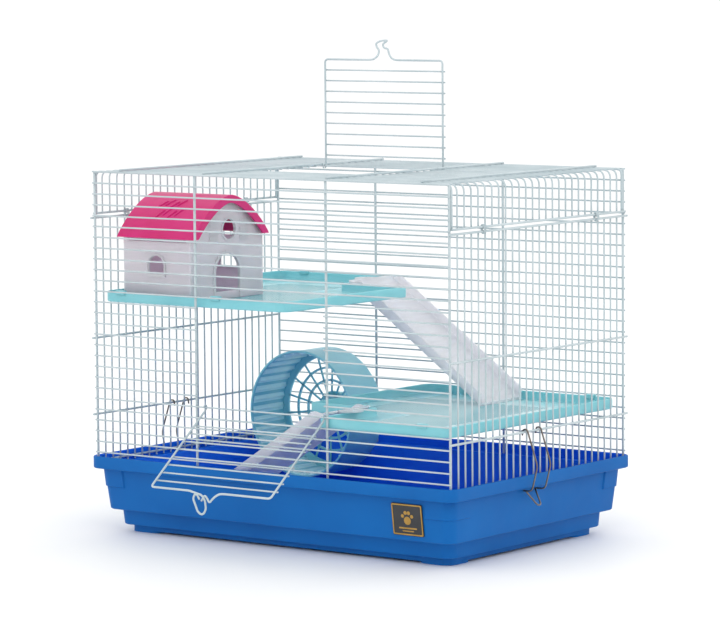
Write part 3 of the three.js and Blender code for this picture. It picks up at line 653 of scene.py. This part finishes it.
def buildTrayClip(name, node, body, side):
    half, turn, hook, over = grille["upright"], clip["turn"], clip["hook"], clip["over"]
    (bowX, bowZ), (footX, footZ), (tipX, tipZ) = clip["bow"], clip["foot"], clip["tip"]
    at = np.array([side * grille["crossX"], clip["y"], clip["z"]])
    across = [(-hook, half, -hook), (-over, half, over), (over, half, over), (bowX, half, bowZ),
              (footX, half, footZ), (clip["footIn"], half, footZ), (clip["footIn"], half - turn, footZ),
              (tipX, turn, tipZ)]
    mirrored = [(x, -y, z) for x, y, z in across[::-1]]
    path = roundedPath(across + mirrored, clip["bend"], 7) * [side, side, 1]
    mesh = Gather().add(*wire(path + at, clip["radius"], 10))
    mesh.piece(name, bareSpringSteel, body, "spring_steel", [node])


buildTrayClip("trayClipLeft", "tray_clip_left", "tray_clip_left", -1)
buildTrayClip("trayClipRight", "tray_clip_right", "tray_clip_right", 1)
print("doors and clips made")


# ---- platforms: a rimmed tray with a square field of small holes moulded through its floor

platform = {"sizeX": 246.0, "sizeY": 304.0, "rim": 11.0, "wall": 2.2, "floor": 2.4, "corner": 14.0,
            "notchX": 85.0, "notchY": 95.0, "hole": 2.5, "pitch": 3.9, "sheet": 0.9,
            "fieldX": (-75.0, 92.0), "fieldY": (-96.0, 98.0), "notchKeep": 26.0, "lip": 12.0, "lattice": 11.5,
            "bends": 7, "notchBends": (3.5, 4.0, 3.5),
            "hookHalf": 6.0, "hookOut": 2.0, "hookIn": 4.0, "hookDown": 3.0, "hookUp": 1.6,
            "hooks": {"upper_platform": ((-200, -1), (-72, -1), (-190, 1)),
                      "lower_platform": ((193, -1), (60, 1), (193, 1))}}


# outline inset all round; the notch takes the corner +X, +Y
def platformOutline(inset):
    p = platform
    x, y = p["sizeX"] / 2 - inset, p["sizeY"] / 2 - inset
    notchX, notchY = p["sizeX"] / 2 - p["notchX"] - inset, p["sizeY"] / 2 - p["notchY"] - inset
    wide, (first, inner, last) = p["corner"] - inset, p["notchBends"]
    corners = [((-x, -y), wide), ((x, -y), wide), ((x, notchY), first), ((notchX, notchY), inner),
               ((notchX, y), last), ((-x, y), wide)]
    outline = []
    for k, ((cx, cy), radius) in enumerate(corners):
        before, after = np.array(corners[k - 1][0]), np.array(corners[(k + 1) % len(corners)][0])
        corner = np.array([cx, cy])
        a = (before - corner) / np.linalg.norm(before - corner) * radius + corner
        b = (after - corner) / np.linalg.norm(after - corner) * radius + corner
        t = np.linspace(0, 1, p["bends"])[:, None]
        centre = a + b - corner
        swing = np.cos(t * math.pi / 2) * (a - centre) + np.sin(t * math.pi / 2) * (b - centre)
        outline.append(centre + swing)
    return np.concatenate(outline)


# the rim is the outline carried up outside, over its rolled lip and down inside to the floor
def platformRim():
    p = platform
    rows = [(1.1, 0.0), (0.5, 0.25), (0.1, 1.0), (0.0, 2.0), (0.0, p["rim"] - 0.8), (0.3, p["rim"] - 0.15),
            (0.9, p["rim"]), (p["wall"] - 0.6, p["rim"]), (p["wall"], p["rim"] - 0.7),
            (p["wall"], p["floor"] + 1.2), (p["wall"] + 1.0, p["floor"]), (p["lip"], p["floor"]),
            (p["lip"], 0.0)]
    outlines = [(platformOutline(inset), z) for inset, z in rows]
    loops = np.array([np.concatenate([line, np.full((len(line), 1), z)], 1) for line, z in outlines])
    return loops, gridFaces(*loops.shape[:2], closeRows=True, closeColumns=True)


# floor cells on a lattice: bars and holes alternate, and a cell outside the field stays solid
def platformFloor():
    p = platform
    x1, y1 = p["sizeX"] / 2 - p["lattice"], p["sizeY"] / 2 - p["lattice"]
    bar = p["pitch"] - p["hole"]

    def lines(low, high, first, last):  # cell edges along one way, with the holes between them
        count = int((last - first) // p["pitch"])
        inner = first + np.arange(count)[:, None] * p["pitch"] + np.array([bar, p["pitch"]])
        return np.concatenate([[low], inner.ravel(), [high]])

    xs = lines(-x1, x1, *p["fieldX"])
    ys = lines(-y1, y1, *p["fieldY"])
    midX, midY = (xs[:-1] + xs[1:]) / 2, (ys[:-1] + ys[1:]) / 2
    i, j = np.meshgrid(np.arange(len(midX)), np.arange(len(midY)), indexing="ij")
    cx, cy = midX[i], midY[j]
    notchX, notchY = p["sizeX"] / 2 - p["notchX"], p["sizeY"] / 2 - p["notchY"]
    gone = (cx > notchX - p["lattice"]) & (cy > notchY - p["lattice"])
    near = (cx > notchX - p["notchKeep"]) & (cy > notchY - p["notchKeep"])
    hole = (i % 2 == 1) & (j % 2 == 1) & ~near
    solid = ~hole & ~gone
    gx, gy = np.meshgrid(xs, ys, indexing="ij")
    count = gx.size
    top = np.stack([gx, gy, np.full_like(gx, p["floor"])], -1).reshape(-1, 3)
    points = np.concatenate([top, top - [0, 0, p["sheet"]]])
    width = len(ys)
    a = i * width + j
    b, c, d = a + width, a + width + 1, a + 1
    faces = [np.stack([a, b, c, d], -1)[solid], np.stack([d, c, b, a], -1)[solid] + count]
    framed = np.pad(solid, 1)
    for first, second, shift in ((a, b, (0, -1)), (b, c, (1, 0)), (c, d, (0, 1)), (d, a, (-1, 0))):
        fromX, fromY = 1 + shift[0], 1 + shift[1]
        edge = solid & ~framed[fromX:fromX + solid.shape[0], fromY:fromY + solid.shape[1]]
        faces.append(np.stack([second, first, first + count, second + count], -1)[edge])
    # the bars' tops between the holes are slot 2, the painted highlight, and the holes' walls slot 1, the
    # painted shade
    beside = ((1, 0), (-1, 0), (0, 1), (0, -1), (1, 1), (-1, -1))
    inField = np.any([np.roll(hole, shift, (0, 1)) for shift in beside], axis=0)
    walls = sum(map(len, faces[2:]))
    paintedLightSlots = [np.where(inField, 2, 0)[solid], np.zeros(solid.sum(), int), np.full(walls, 1)]
    faces = np.concatenate(faces)
    used, remapped = np.unique(faces, return_inverse=True)
    return points[used], remapped.reshape(faces.shape).tolist(), np.concatenate(paintedLightSlots)


def buildPlatform(name, node, half):
    low, high = nodeBox(node)
    middle = np.array([(low[0] + high[0]) / 2, (low[1] + high[1]) / 2, low[2]])
    sign = np.array([half, half, 1])
    mesh = Gather()
    points, faces, paintedLightSlots = platformFloor()
    mesh.add(points * sign + middle, faces)
    loops, faces = platformRim()
    mesh.add(loops.reshape(-1, 3) * sign + middle, faces)
    for at, outward in platform["hooks"][node]:  # support hooks that reach over the rim to the grille
        y = low[1] if outward < 0 else high[1]
        ys = sorted((y + outward * platform["hookOut"], y - outward * platform["hookIn"]))
        zs = high[2] - platform["hookDown"], high[2] + platform["hookUp"]
        mesh.add(*roundBlock(at - platform["hookHalf"], at + platform["hookHalf"], *ys, *zs, 1.6, 0.5))
    piece = mesh.piece(name, mintPolystyrene, "root", "aqua_plastic", [node])
    # the holes' walls take the painted shade, and the bars' tops the painted highlight
    piece.data.materials.append(mintPolystyreneHoleShade)
    piece.data.materials.append(mintPolystyreneBarHighlight)
    slots = np.concatenate([paintedLightSlots, np.zeros(len(piece.data.polygons) - len(paintedLightSlots), int)])
    piece.data.polygons.foreach_set("material_index", slots)
    shade(piece, 40)


buildPlatform("upperPlatform", "upper_platform", 1)
buildPlatform("lowerPlatform", "lower_platform", -1)
print("platforms made")


# ---- ramps: a channel with rolled lips, low treads across its bed and a round tongue at its top

ramp = {"width": 76.0, "lip": 11.2, "wall": 2.2, "tongue": 18.0, "tongueHalf": 16.0, "taper": 18.0,
        "clear": 0.3, "tread": 0.35, "treadPitch": 7.0, "tongueIn": 0.5, "ease": 0.5, "fillet": 0.8,
        "steps": 150, "tongueSteps": 25, "tongueEase": 0.4, "tongueShrink": 0.985}


def buildRamp(name, node, body, half):
    low, high = nodeBox(node)
    p = ramp
    tongueReach = p["tongue"] - p["tongueIn"]
    run = (high[0] - low[0]) - tongueReach
    tongueZ = nodeBox(node.replace("ramp", "platform"))[1][2] + p["clear"]
    drop = tongueZ - low[2]
    start = low[0] + tongueReach if half > 0 else high[0] - tongueReach
    midY = (low[1] + high[1]) / 2
    slope = math.atan2(drop, run)
    wall, lip, w, ease, fillet = p["wall"], p["lip"], p["width"] / 2, p["ease"], p["fillet"]
    # half of the section as (across, up): outside of one side, its lip, inside and bed; the other
    # half is its mirror image
    side = [(-w + ease, 0.0), (-w, 0.6), (-w, lip - ease), (-w + ease, lip), (-w + wall - ease, lip),
            (-w + wall, lip - ease), (-w + wall, wall + fillet), (-w + wall + fillet, wall)]
    section = np.array(side + [(-x, z) for x, z in side[::-1]])
    count, around = p["steps"], len(section)
    along = np.linspace(0, run, count)[:, None]
    tread = p["tread"] * np.clip(np.sin(along / p["treadPitch"] * 2 * math.pi) * 2, 0, 1)
    bed = np.isin(np.arange(around), (len(side) - 1, len(side)))[None]
    # the lips rise from the bed's own thickness over the taper, as a smooth step
    share = np.clip(along / p["taper"], 0, 1)
    rise = share * share * (3 - 2 * share)
    level = section[None, :, 1]
    height = np.where(level > wall, wall + (level - wall) * rise, level)
    up = (height + tread * bed) / math.cos(slope) - along * math.tan(slope)
    across = np.broadcast_to(section[None, :, 0], up.shape)
    points = np.stack([np.broadcast_to(along, up.shape), across, up], -1)
    faces = gridFaces(count, around, closeColumns=True)
    faces.append(list(range(around)))
    faces.append([(count - 1) * around + k for k in range(around)][::-1])
    # the tongue is half an ellipse, closed along the ramp's top edge
    angle = np.linspace(-math.pi / 2, math.pi / 2, p["tongueSteps"])
    rim = np.stack([p["tongueIn"] - p["tongue"] * np.cos(angle), p["tongueHalf"] * np.sin(angle)], -1)
    shrink, edge = p["tongueShrink"], p["tongueEase"]
    levels = [(shrink, 0.0), (1.0, edge), (1.0, wall - edge), (shrink, wall)]
    loops = np.array([np.concatenate([rim * s, np.full((len(rim), 1), z)], 1) for s, z in levels])
    sign = np.array([half, half, 1])
    place = np.array([start, midY, tongueZ])
    mesh = Gather()
    mesh.add(points.reshape(-1, 3) * sign + place, faces)
    loops, faces = shellOfLoops(loops)
    mesh.add(loops.reshape(-1, 3) * sign + place, faces)
    piece = mesh.piece(name, frostedPolypropylene, body, "frosted_plastic", [node])
    shade(piece, 40)


buildRamp("upperRamp", "upper_ramp", "upper_ramp", 1)
buildRamp("lowerRamp", "lower_ramp", "lower_ramp", -1)
print("ramps made")


# ---- house: frosted walls with frames round the openings, and an arched pink roof

# an opening's band is (half width, top, width of the band); strokes are (shift along X, lift in Y)
house = {"half": 64.0, "eave": 314.0, "rise": 44.0, "power": 1.65, "ease": 0.9, "skin": 2.2,
         "fascia": 8.5, "edgeEase": 0.5, "archSteps": 61,
         "strokeLift": 0.1, "stroke": 1.1, "strokes": ((-34, 0), (-26, 3), (-18, 0), (-10, 3)),
         "strokeFrom": (20, -46), "strokeRow": (-6, 13), "strokeRun": (6, 9), "strokeSteps": 6,
         "frame": 1.3, "inAt": 1.6, "bandSunk": 0.3, "frameSunk": 0.3,
         "doorBand": (20.2, 296.2, 3.2), "doorIn": 0.5,
         "windowBand": (11.2, 296.2, 1.8), "windowFoot": 277.0, "windowShift": -1,
         "sill": (13, 273.4, 276.6), "sillOut": 2.0,
         "eye": (10.6, 12.4), "eyeShift": 3, "eyeZ": 321.5, "eyeSteps": 32,
         "shutters": (-22.5, 28.5), "shutterHalf": 7, "slats": (309, 317, 325), "slat": 6, "slatOut": 0.8}


# height over the distance d from the ridge: eave + rise (1 - (d/half)^power)^ease
def roofHeight(d, drop=0.0):
    share = np.minimum(np.abs(d) / house["half"], 1)
    return house["eave"] + house["rise"] * np.maximum(1 - share ** house["power"], 0) ** house["ease"] - drop


def buildHouseRoof():
    low, high = nodeBox("house_roof")
    middle, half = (low[1] + high[1]) / 2, (high[1] - low[1]) / 2
    skin, fascia = house["skin"], house["fascia"]
    count, ease = house["archSteps"], house["edgeEase"]
    t = np.linspace(-1, 1, count)
    d = np.sin(t * math.pi / 2) * half
    outer = np.stack([d, roofHeight(d)], -1)
    slope = np.gradient(outer, axis=0)
    slope /= np.linalg.norm(slope, axis=1, keepdims=True)
    inward = np.stack([slope[:, 1], -slope[:, 0]], -1)

    def strip(x, thick):  # the arch at one place along X, moved inwards by a thickness
        line = outer + inward * thick
        line[:, 1] = np.maximum(line[:, 1], house["eave"])
        return np.stack([np.full(count, float(x)), line[:, 0] + middle, line[:, 1]], -1)

    x0, x1 = low[0], high[0]
    rows = [strip(x0, fascia - 0.4), strip(x0, ease), strip(x0 + ease, 0.0), strip(x1 - ease, 0.0),
            strip(x1, ease), strip(x1, fascia - 0.4), strip(x1 - skin, fascia), strip(x1 - skin - 0.3, skin),
            strip(x0 + skin + 0.3, skin), strip(x0 + skin, fascia)]
    grid = np.array(rows)
    # rows run round the skin, columns run over the arch; the two eaves are closed by one face each
    faces = gridFaces(len(rows), count, closeRows=True)
    faces.append([k * count for k in range(len(rows))][::-1])
    faces.append([k * count + count - 1 for k in range(len(rows))])
    mesh = Gather().add(grid, faces)
    (fromX, fromY), (rowX, rowY), (runX, runY) = (house[k] for k in ("strokeFrom", "strokeRow", "strokeRun"))
    u = np.linspace(0, 1, house["strokeSteps"])
    for shift, lift in house["strokes"]:  # slanted strokes raised on the front slope, in two rows
        for row in (0, 1):
            out = fromY + row * rowY + lift + u * runY
            x = (x0 + x1) / 2 + shift + fromX + row * rowX + u * runX
            path = np.stack([x, middle + out, roofHeight(out) + house["strokeLift"]], -1)
            mesh.add(*wire(path, house["stroke"], 6))
    piece = mesh.piece("houseRoof", pinkPolystyrene, "house_roof", "pink_plastic", ["house_roof"])
    shade(piece, 40)


# a flat band round an arched opening: the outline is two uprights and a half circle
def archBand(mid, half, foot, top, width, steps=18):
    angle = np.linspace(0, math.pi, steps)

    def line(grow):
        arc = np.stack([mid + (half + grow) * np.cos(angle), top - half + (half + grow) * np.sin(angle)], -1)
        return np.concatenate([[[mid + half + grow, foot]], arc, [[mid - half - grow, foot]]])

    return line(0.0), line(width)


# the band as a solid that stands out of a wall by its lift, and is sunk into it by a share of that
def bandSolid(inner, outer, lift, axis, face):
    sunk = -lift * house["bandSunk"]

    def place(line, out):
        flat = np.full(len(line), face + out)
        if axis == "x":
            return np.stack([flat, line[:, 0], line[:, 1]], -1)
        return np.stack([line[:, 0], flat, line[:, 1]], -1)

    rows = np.array([place(inner, sunk), place(inner, lift), place(outer, lift), place(outer, sunk)])
    columns = len(inner)
    faces = gridFaces(4, columns, closeRows=True)
    faces.append([k * columns for k in range(4)][::-1])
    faces.append([k * columns + columns - 1 for k in range(4)])
    return rows, faces


def buildHouse():
    low, high = nodeBox("house_walls")
    piece = softenedNode("houseWalls", "house_walls", frostedPolypropylene, "root", 0.45)
    midX, midY = (low[0] + high[0]) / 2, (low[1] + high[1]) / 2
    # inside faces, which take the pink painted light: those whose middle is well in from the outside, along X
    # and along Y
    piece.data.materials.append(frostedPolypropyleneLit)
    middles = np.empty(len(piece.data.polygons) * 3)
    piece.data.polygons.foreach_get("center", middles)
    middles = (middles.reshape(-1, 3) - trayMiddle) / mm
    reachX, reachY = (high[0] - low[0]) / 2 - house["inAt"], (high[1] - low[1]) / 2 - house["inAt"]
    inside = (np.abs(middles[:, 0] - midX) < reachX) & (np.abs(middles[:, 1] - midY) < reachY)
    piece.data.polygons.foreach_set("material_index", inside.astype(int))
    lift, sunk = house["frame"], house["frameSunk"]
    frames = Gather()
    half, top, width = house["doorBand"]
    frames.add(*bandSolid(*archBand(midY, half, low[2] + house["doorIn"], top, width), lift, "x", high[0]))
    half, top, width = house["windowBand"]
    windowX = midX + house["windowShift"]
    sillHalf, sillFoot, sillTop = house["sill"]
    for face, out in ((low[1], -1), (high[1], 1)):
        band = archBand(windowX, half, house["windowFoot"], top, width)
        frames.add(*bandSolid(*band, out * lift, "y", face))
        sill = sorted((face - out * sunk, face + out * house["sillOut"]))
        frames.add(*roundBlock(windowX - sillHalf, windowX + sillHalf, *sill, sillFoot, sillTop, 0.8, 0.3))
    angle = np.linspace(0, 2 * math.pi, house["eyeSteps"] + 1)[:-1]
    eyeY, (inner, outer) = midY + house["eyeShift"], house["eye"]
    ring = np.stack([np.zeros_like(angle), np.cos(angle), np.sin(angle)], -1)
    rows = np.array([ring * r + [high[0] + out, eyeY, house["eyeZ"]]
                     for r, out in ((inner, -sunk), (inner, lift), (outer, lift), (outer, -sunk))])
    frames.add(rows, gridFaces(4, house["eyeSteps"], closeRows=True, closeColumns=True))
    x0, x1, halfY = high[0] - sunk, high[0] + house["slatOut"], house["shutterHalf"]
    for centre in house["shutters"]:  # a shutter each side of the round window, with three slats
        y = midY + centre
        for z in house["slats"]:
            frames.add(*roundBlock(x0, x1, y - halfY, y + halfY, z, z + house["slat"], 0.4, 0.2))
    frames.piece("houseFrames", frostedPolypropylene, "root", "frosted_plastic", [], False)


buildHouse()
buildHouseRoof()
print("house made")


# ---- wheel: a drum with rungs along it, open in front, and a spoked grille at the back

wheel = {"x": -145.5, "z": 107.0, "r": 70.0, "wall": 2.2, "rungs": 36, "rung": 1.8, "rungSteps": 12,
         "hub": 15.0, "bore": 4.4, "rings": (46.2, 32.2), "ring": 1.2, "ringIn": 0.2,
         "rim": 11.0, "depth": 2.5, "spokes": 18, "firstSpoke": 8.0,
         "spoke": 1.2, "spokeInHub": 1.0, "spokeInRim": 1.5,
         "crest": -0.3, "ringSteps": 72, "hubSteps": 48}


def buildWheel():
    low, high = nodeBox("wheel_drum")
    front, back = low[1], high[1]
    p = wheel
    centre = np.array([p["x"], 0, p["z"]])
    around = p["rungs"] * p["rungSteps"]
    angle = np.arange(around) * 2 * math.pi / around
    # a rung is a rounded ridge: its height is the cosine's top part, raised to a power
    ridge = p["rung"] * np.clip(np.cos(angle * p["rungs"]), 0, 1) ** 2
    r, wall = p["r"], p["wall"]
    grilleFront, inner = back - p["depth"], r - wall
    # round the drum's section as (radius, place along Y, share of the ridge): the outside with its
    # front lip, the back grille's rim, then the inside, where two rows carry the rungs
    profile = np.array([
        (r - 0.6, front, 0), (r, front + 0.6, 0), (r, front + 2.4, 0), (r - 0.8, front + 3.0, 0),
        (r - 0.8, back - 0.6, 0), (r - 1.4, back, 0), (r - p["rim"], back, 0), (r - p["rim"], grilleFront, 0),
        (inner - 1.6, grilleFront, 0), (inner - 0.8, grilleFront - 0.8, 1), (inner - 0.8, front + 3.4, 1),
        (inner - 0.4, front + 2.6, 0), (inner - 0.4, front + 0.5, 0), (inner, front, 0)])
    firstLifted = int(np.argmax(profile[:, 2]))
    radius = profile[:, :1] - profile[:, 2:] * ridge
    depth = np.broadcast_to(profile[:, 1:2], radius.shape)
    grid = np.stack([radius * np.cos(angle), depth, radius * np.sin(angle)], -1)
    mesh = Gather()
    faces = gridFaces(len(profile), around, closeRows=True, closeColumns=True)
    mesh.add(grid + centre, faces)
    # the faces of the drum's inside, from its first lifted row on, that lie on or beside a rung's crest
    row, column = np.divmod(np.arange(len(faces)), around)
    crest = np.cos((column + 0.5) * 2 * math.pi / p["rungSteps"]) > p["crest"]
    paintedLightSlots = ((row >= firstLifted) & (row <= firstLifted + 1) & crest).astype(int)
    middle = back - p["depth"] / 2

    def hoop(inner, outer, y0, y1, count):
        turn = np.arange(count) * 2 * math.pi / count
        rows = [(outer, y0), (outer, y1), (inner, y1), (inner, y0)]
        circle = np.stack([np.cos(turn), np.zeros(count), np.sin(turn)], -1)
        points = np.array([circle * q + [0, y, 0] for q, y in rows])
        mesh.add(points + centre, gridFaces(4, count, closeRows=True, closeColumns=True))

    for at in p["rings"]:
        hoop(at - p["ring"], at + p["ring"], grilleFront + p["ringIn"], back - p["ringIn"], p["ringSteps"])
    hoop(p["bore"], p["hub"], grilleFront, back, p["hubSteps"])
    for k in range(p["spokes"]):
        turn = math.radians(p["firstSpoke"] + k * 360 / p["spokes"])
        ray = np.array([math.cos(turn), 0, math.sin(turn)])
        spokeEnds = (p["hub"] - p["spokeInHub"], r - p["rim"] + p["spokeInRim"])
        mesh.add(*wire([centre + ray * q + [0, middle, 0] for q in spokeEnds], p["spoke"], 8))
    piece = mesh.piece("wheelDrum", tealPolystyrene, "wheel", "teal_clear", ["wheel_drum"])
    # the rung faces on the drum's inside take the pale painted light
    piece.data.materials.append(tealPolystyreneLit)
    slots = np.concatenate([paintedLightSlots, np.zeros(len(piece.data.polygons) - len(paintedLightSlots), int)])
    piece.data.polygons.foreach_set("material_index", slots)
    shade(piece, 40)


buildWheel()
softenedNode("wheelBracket", "wheel_bracket", mintPolystyrene, "root", 0.4)
softenedNode("wheelCap", "wheel_cap", mintPolystyrene, "root", 0.5)
softenedNode("wheelPin", "wheel_axle", bareSpringSteel, "root", 0.3)
print("wheel made")


# ---- studio: pale floor, soft lights, and the camera at a three-quarter view

# the floor's radii are shares of its size; a light is its place, its size and its power
studio = {"floorSize": 14.0, "floorRadii": (0.02, 0.3, 1.0, 3.0, 1.0), "floorHeights": (0, 0, 0, 0, -0.5),
          "floorSteps": 64, "lens": 188.03, "sensor": 36.0, "yaw": 36.9536, "pitch": 5.38009,
          "roll": -0.44292, "place": (2366.585, -3143.705, 607.923), "world": 1.12, "aim": (0, 0, 0.2),
          "lights": {"keyLight": ((1.6, -1.8, 2.6), 1.6, 10), "fillLight": ((-2.2, -1.6, 1.6), 2.0, 5),
                     "backLight": ((0.2, 2.4, 2.2), 2.2, 12)}}


def buildStudio():
    # the floor is a wide disc: rings of points at growing radius about its middle
    turn = np.arange(studio["floorSteps"]) * 2 * math.pi / studio["floorSteps"]
    circle = np.stack([np.cos(turn), np.sin(turn), np.zeros_like(turn)], -1) * studio["floorSize"]
    rings = [circle * share + [0, 0, z] for share, z in zip(studio["floorRadii"], studio["floorHeights"])]
    points, faces = shellOfLoops(np.array(rings))
    mesh = bpy.data.meshes.new("studioFloor")
    mesh.from_pydata(points.reshape(-1, 3).tolist(), [], faces)
    floor = bpy.data.objects.new("studioFloor", mesh)
    bpy.context.collection.objects.link(floor)
    paleFloor, shader = newMaterial("paleFloor", {"Roughness": 0.6})
    weather(paleFloor, shader, ("#F6F6F6", "#F8F8F8"), 400, (0.55, 0.65), 50, 5, 0.01)
    mesh.materials.append(paleFloor)

    world = bpy.data.worlds.new("studioWorld")
    bpy.context.scene.world = world
    world.use_nodes = True
    world.node_tree.nodes["Background"].inputs["Color"].default_value = (1, 1, 1, 1)
    world.node_tree.nodes["Background"].inputs["Strength"].default_value = studio["world"]
    bpy.context.scene.view_settings.view_transform = "Standard"
    for name, (at, size, power) in studio["lights"].items():
        data = bpy.data.lights.new(name, "AREA")
        data.size = size
        data.energy = power
        lamp = bpy.data.objects.new(name, data)
        bpy.context.collection.objects.link(lamp)
        lamp.location = at
        aim = Vector(studio["aim"]) - Vector(at)
        lamp.rotation_euler = aim.to_track_quat("-Z", "Y").to_euler()

    data = bpy.data.cameras.new("mainCamera")
    data.lens = studio["lens"]
    data.sensor_width = studio["sensor"]
    data.clip_start, data.clip_end = 0.05, 100
    camera = bpy.data.objects.new("mainCamera", data)
    bpy.context.collection.objects.link(camera)
    yaw, pitch, roll = (math.radians(studio[k]) for k in ("yaw", "pitch", "roll"))
    ahead = Vector((-math.sin(yaw) * math.cos(pitch), math.cos(yaw) * math.cos(pitch), -math.sin(pitch)))
    right = Vector((math.cos(yaw), math.sin(yaw), 0))
    up = right.cross(ahead)
    rolledRight = right * math.cos(roll) + up * math.sin(roll)
    rolledUp = up * math.cos(roll) - right * math.sin(roll)
    place = Vector(np.array(studio["place"]) * mm + trayMiddle)
    turn = Matrix((rolledRight, rolledUp, -ahead)).transposed().to_4x4()
    camera.matrix_world = Matrix.Translation(place) @ turn
    bpy.context.scene.camera = camera


buildStudio()
print("studio made")
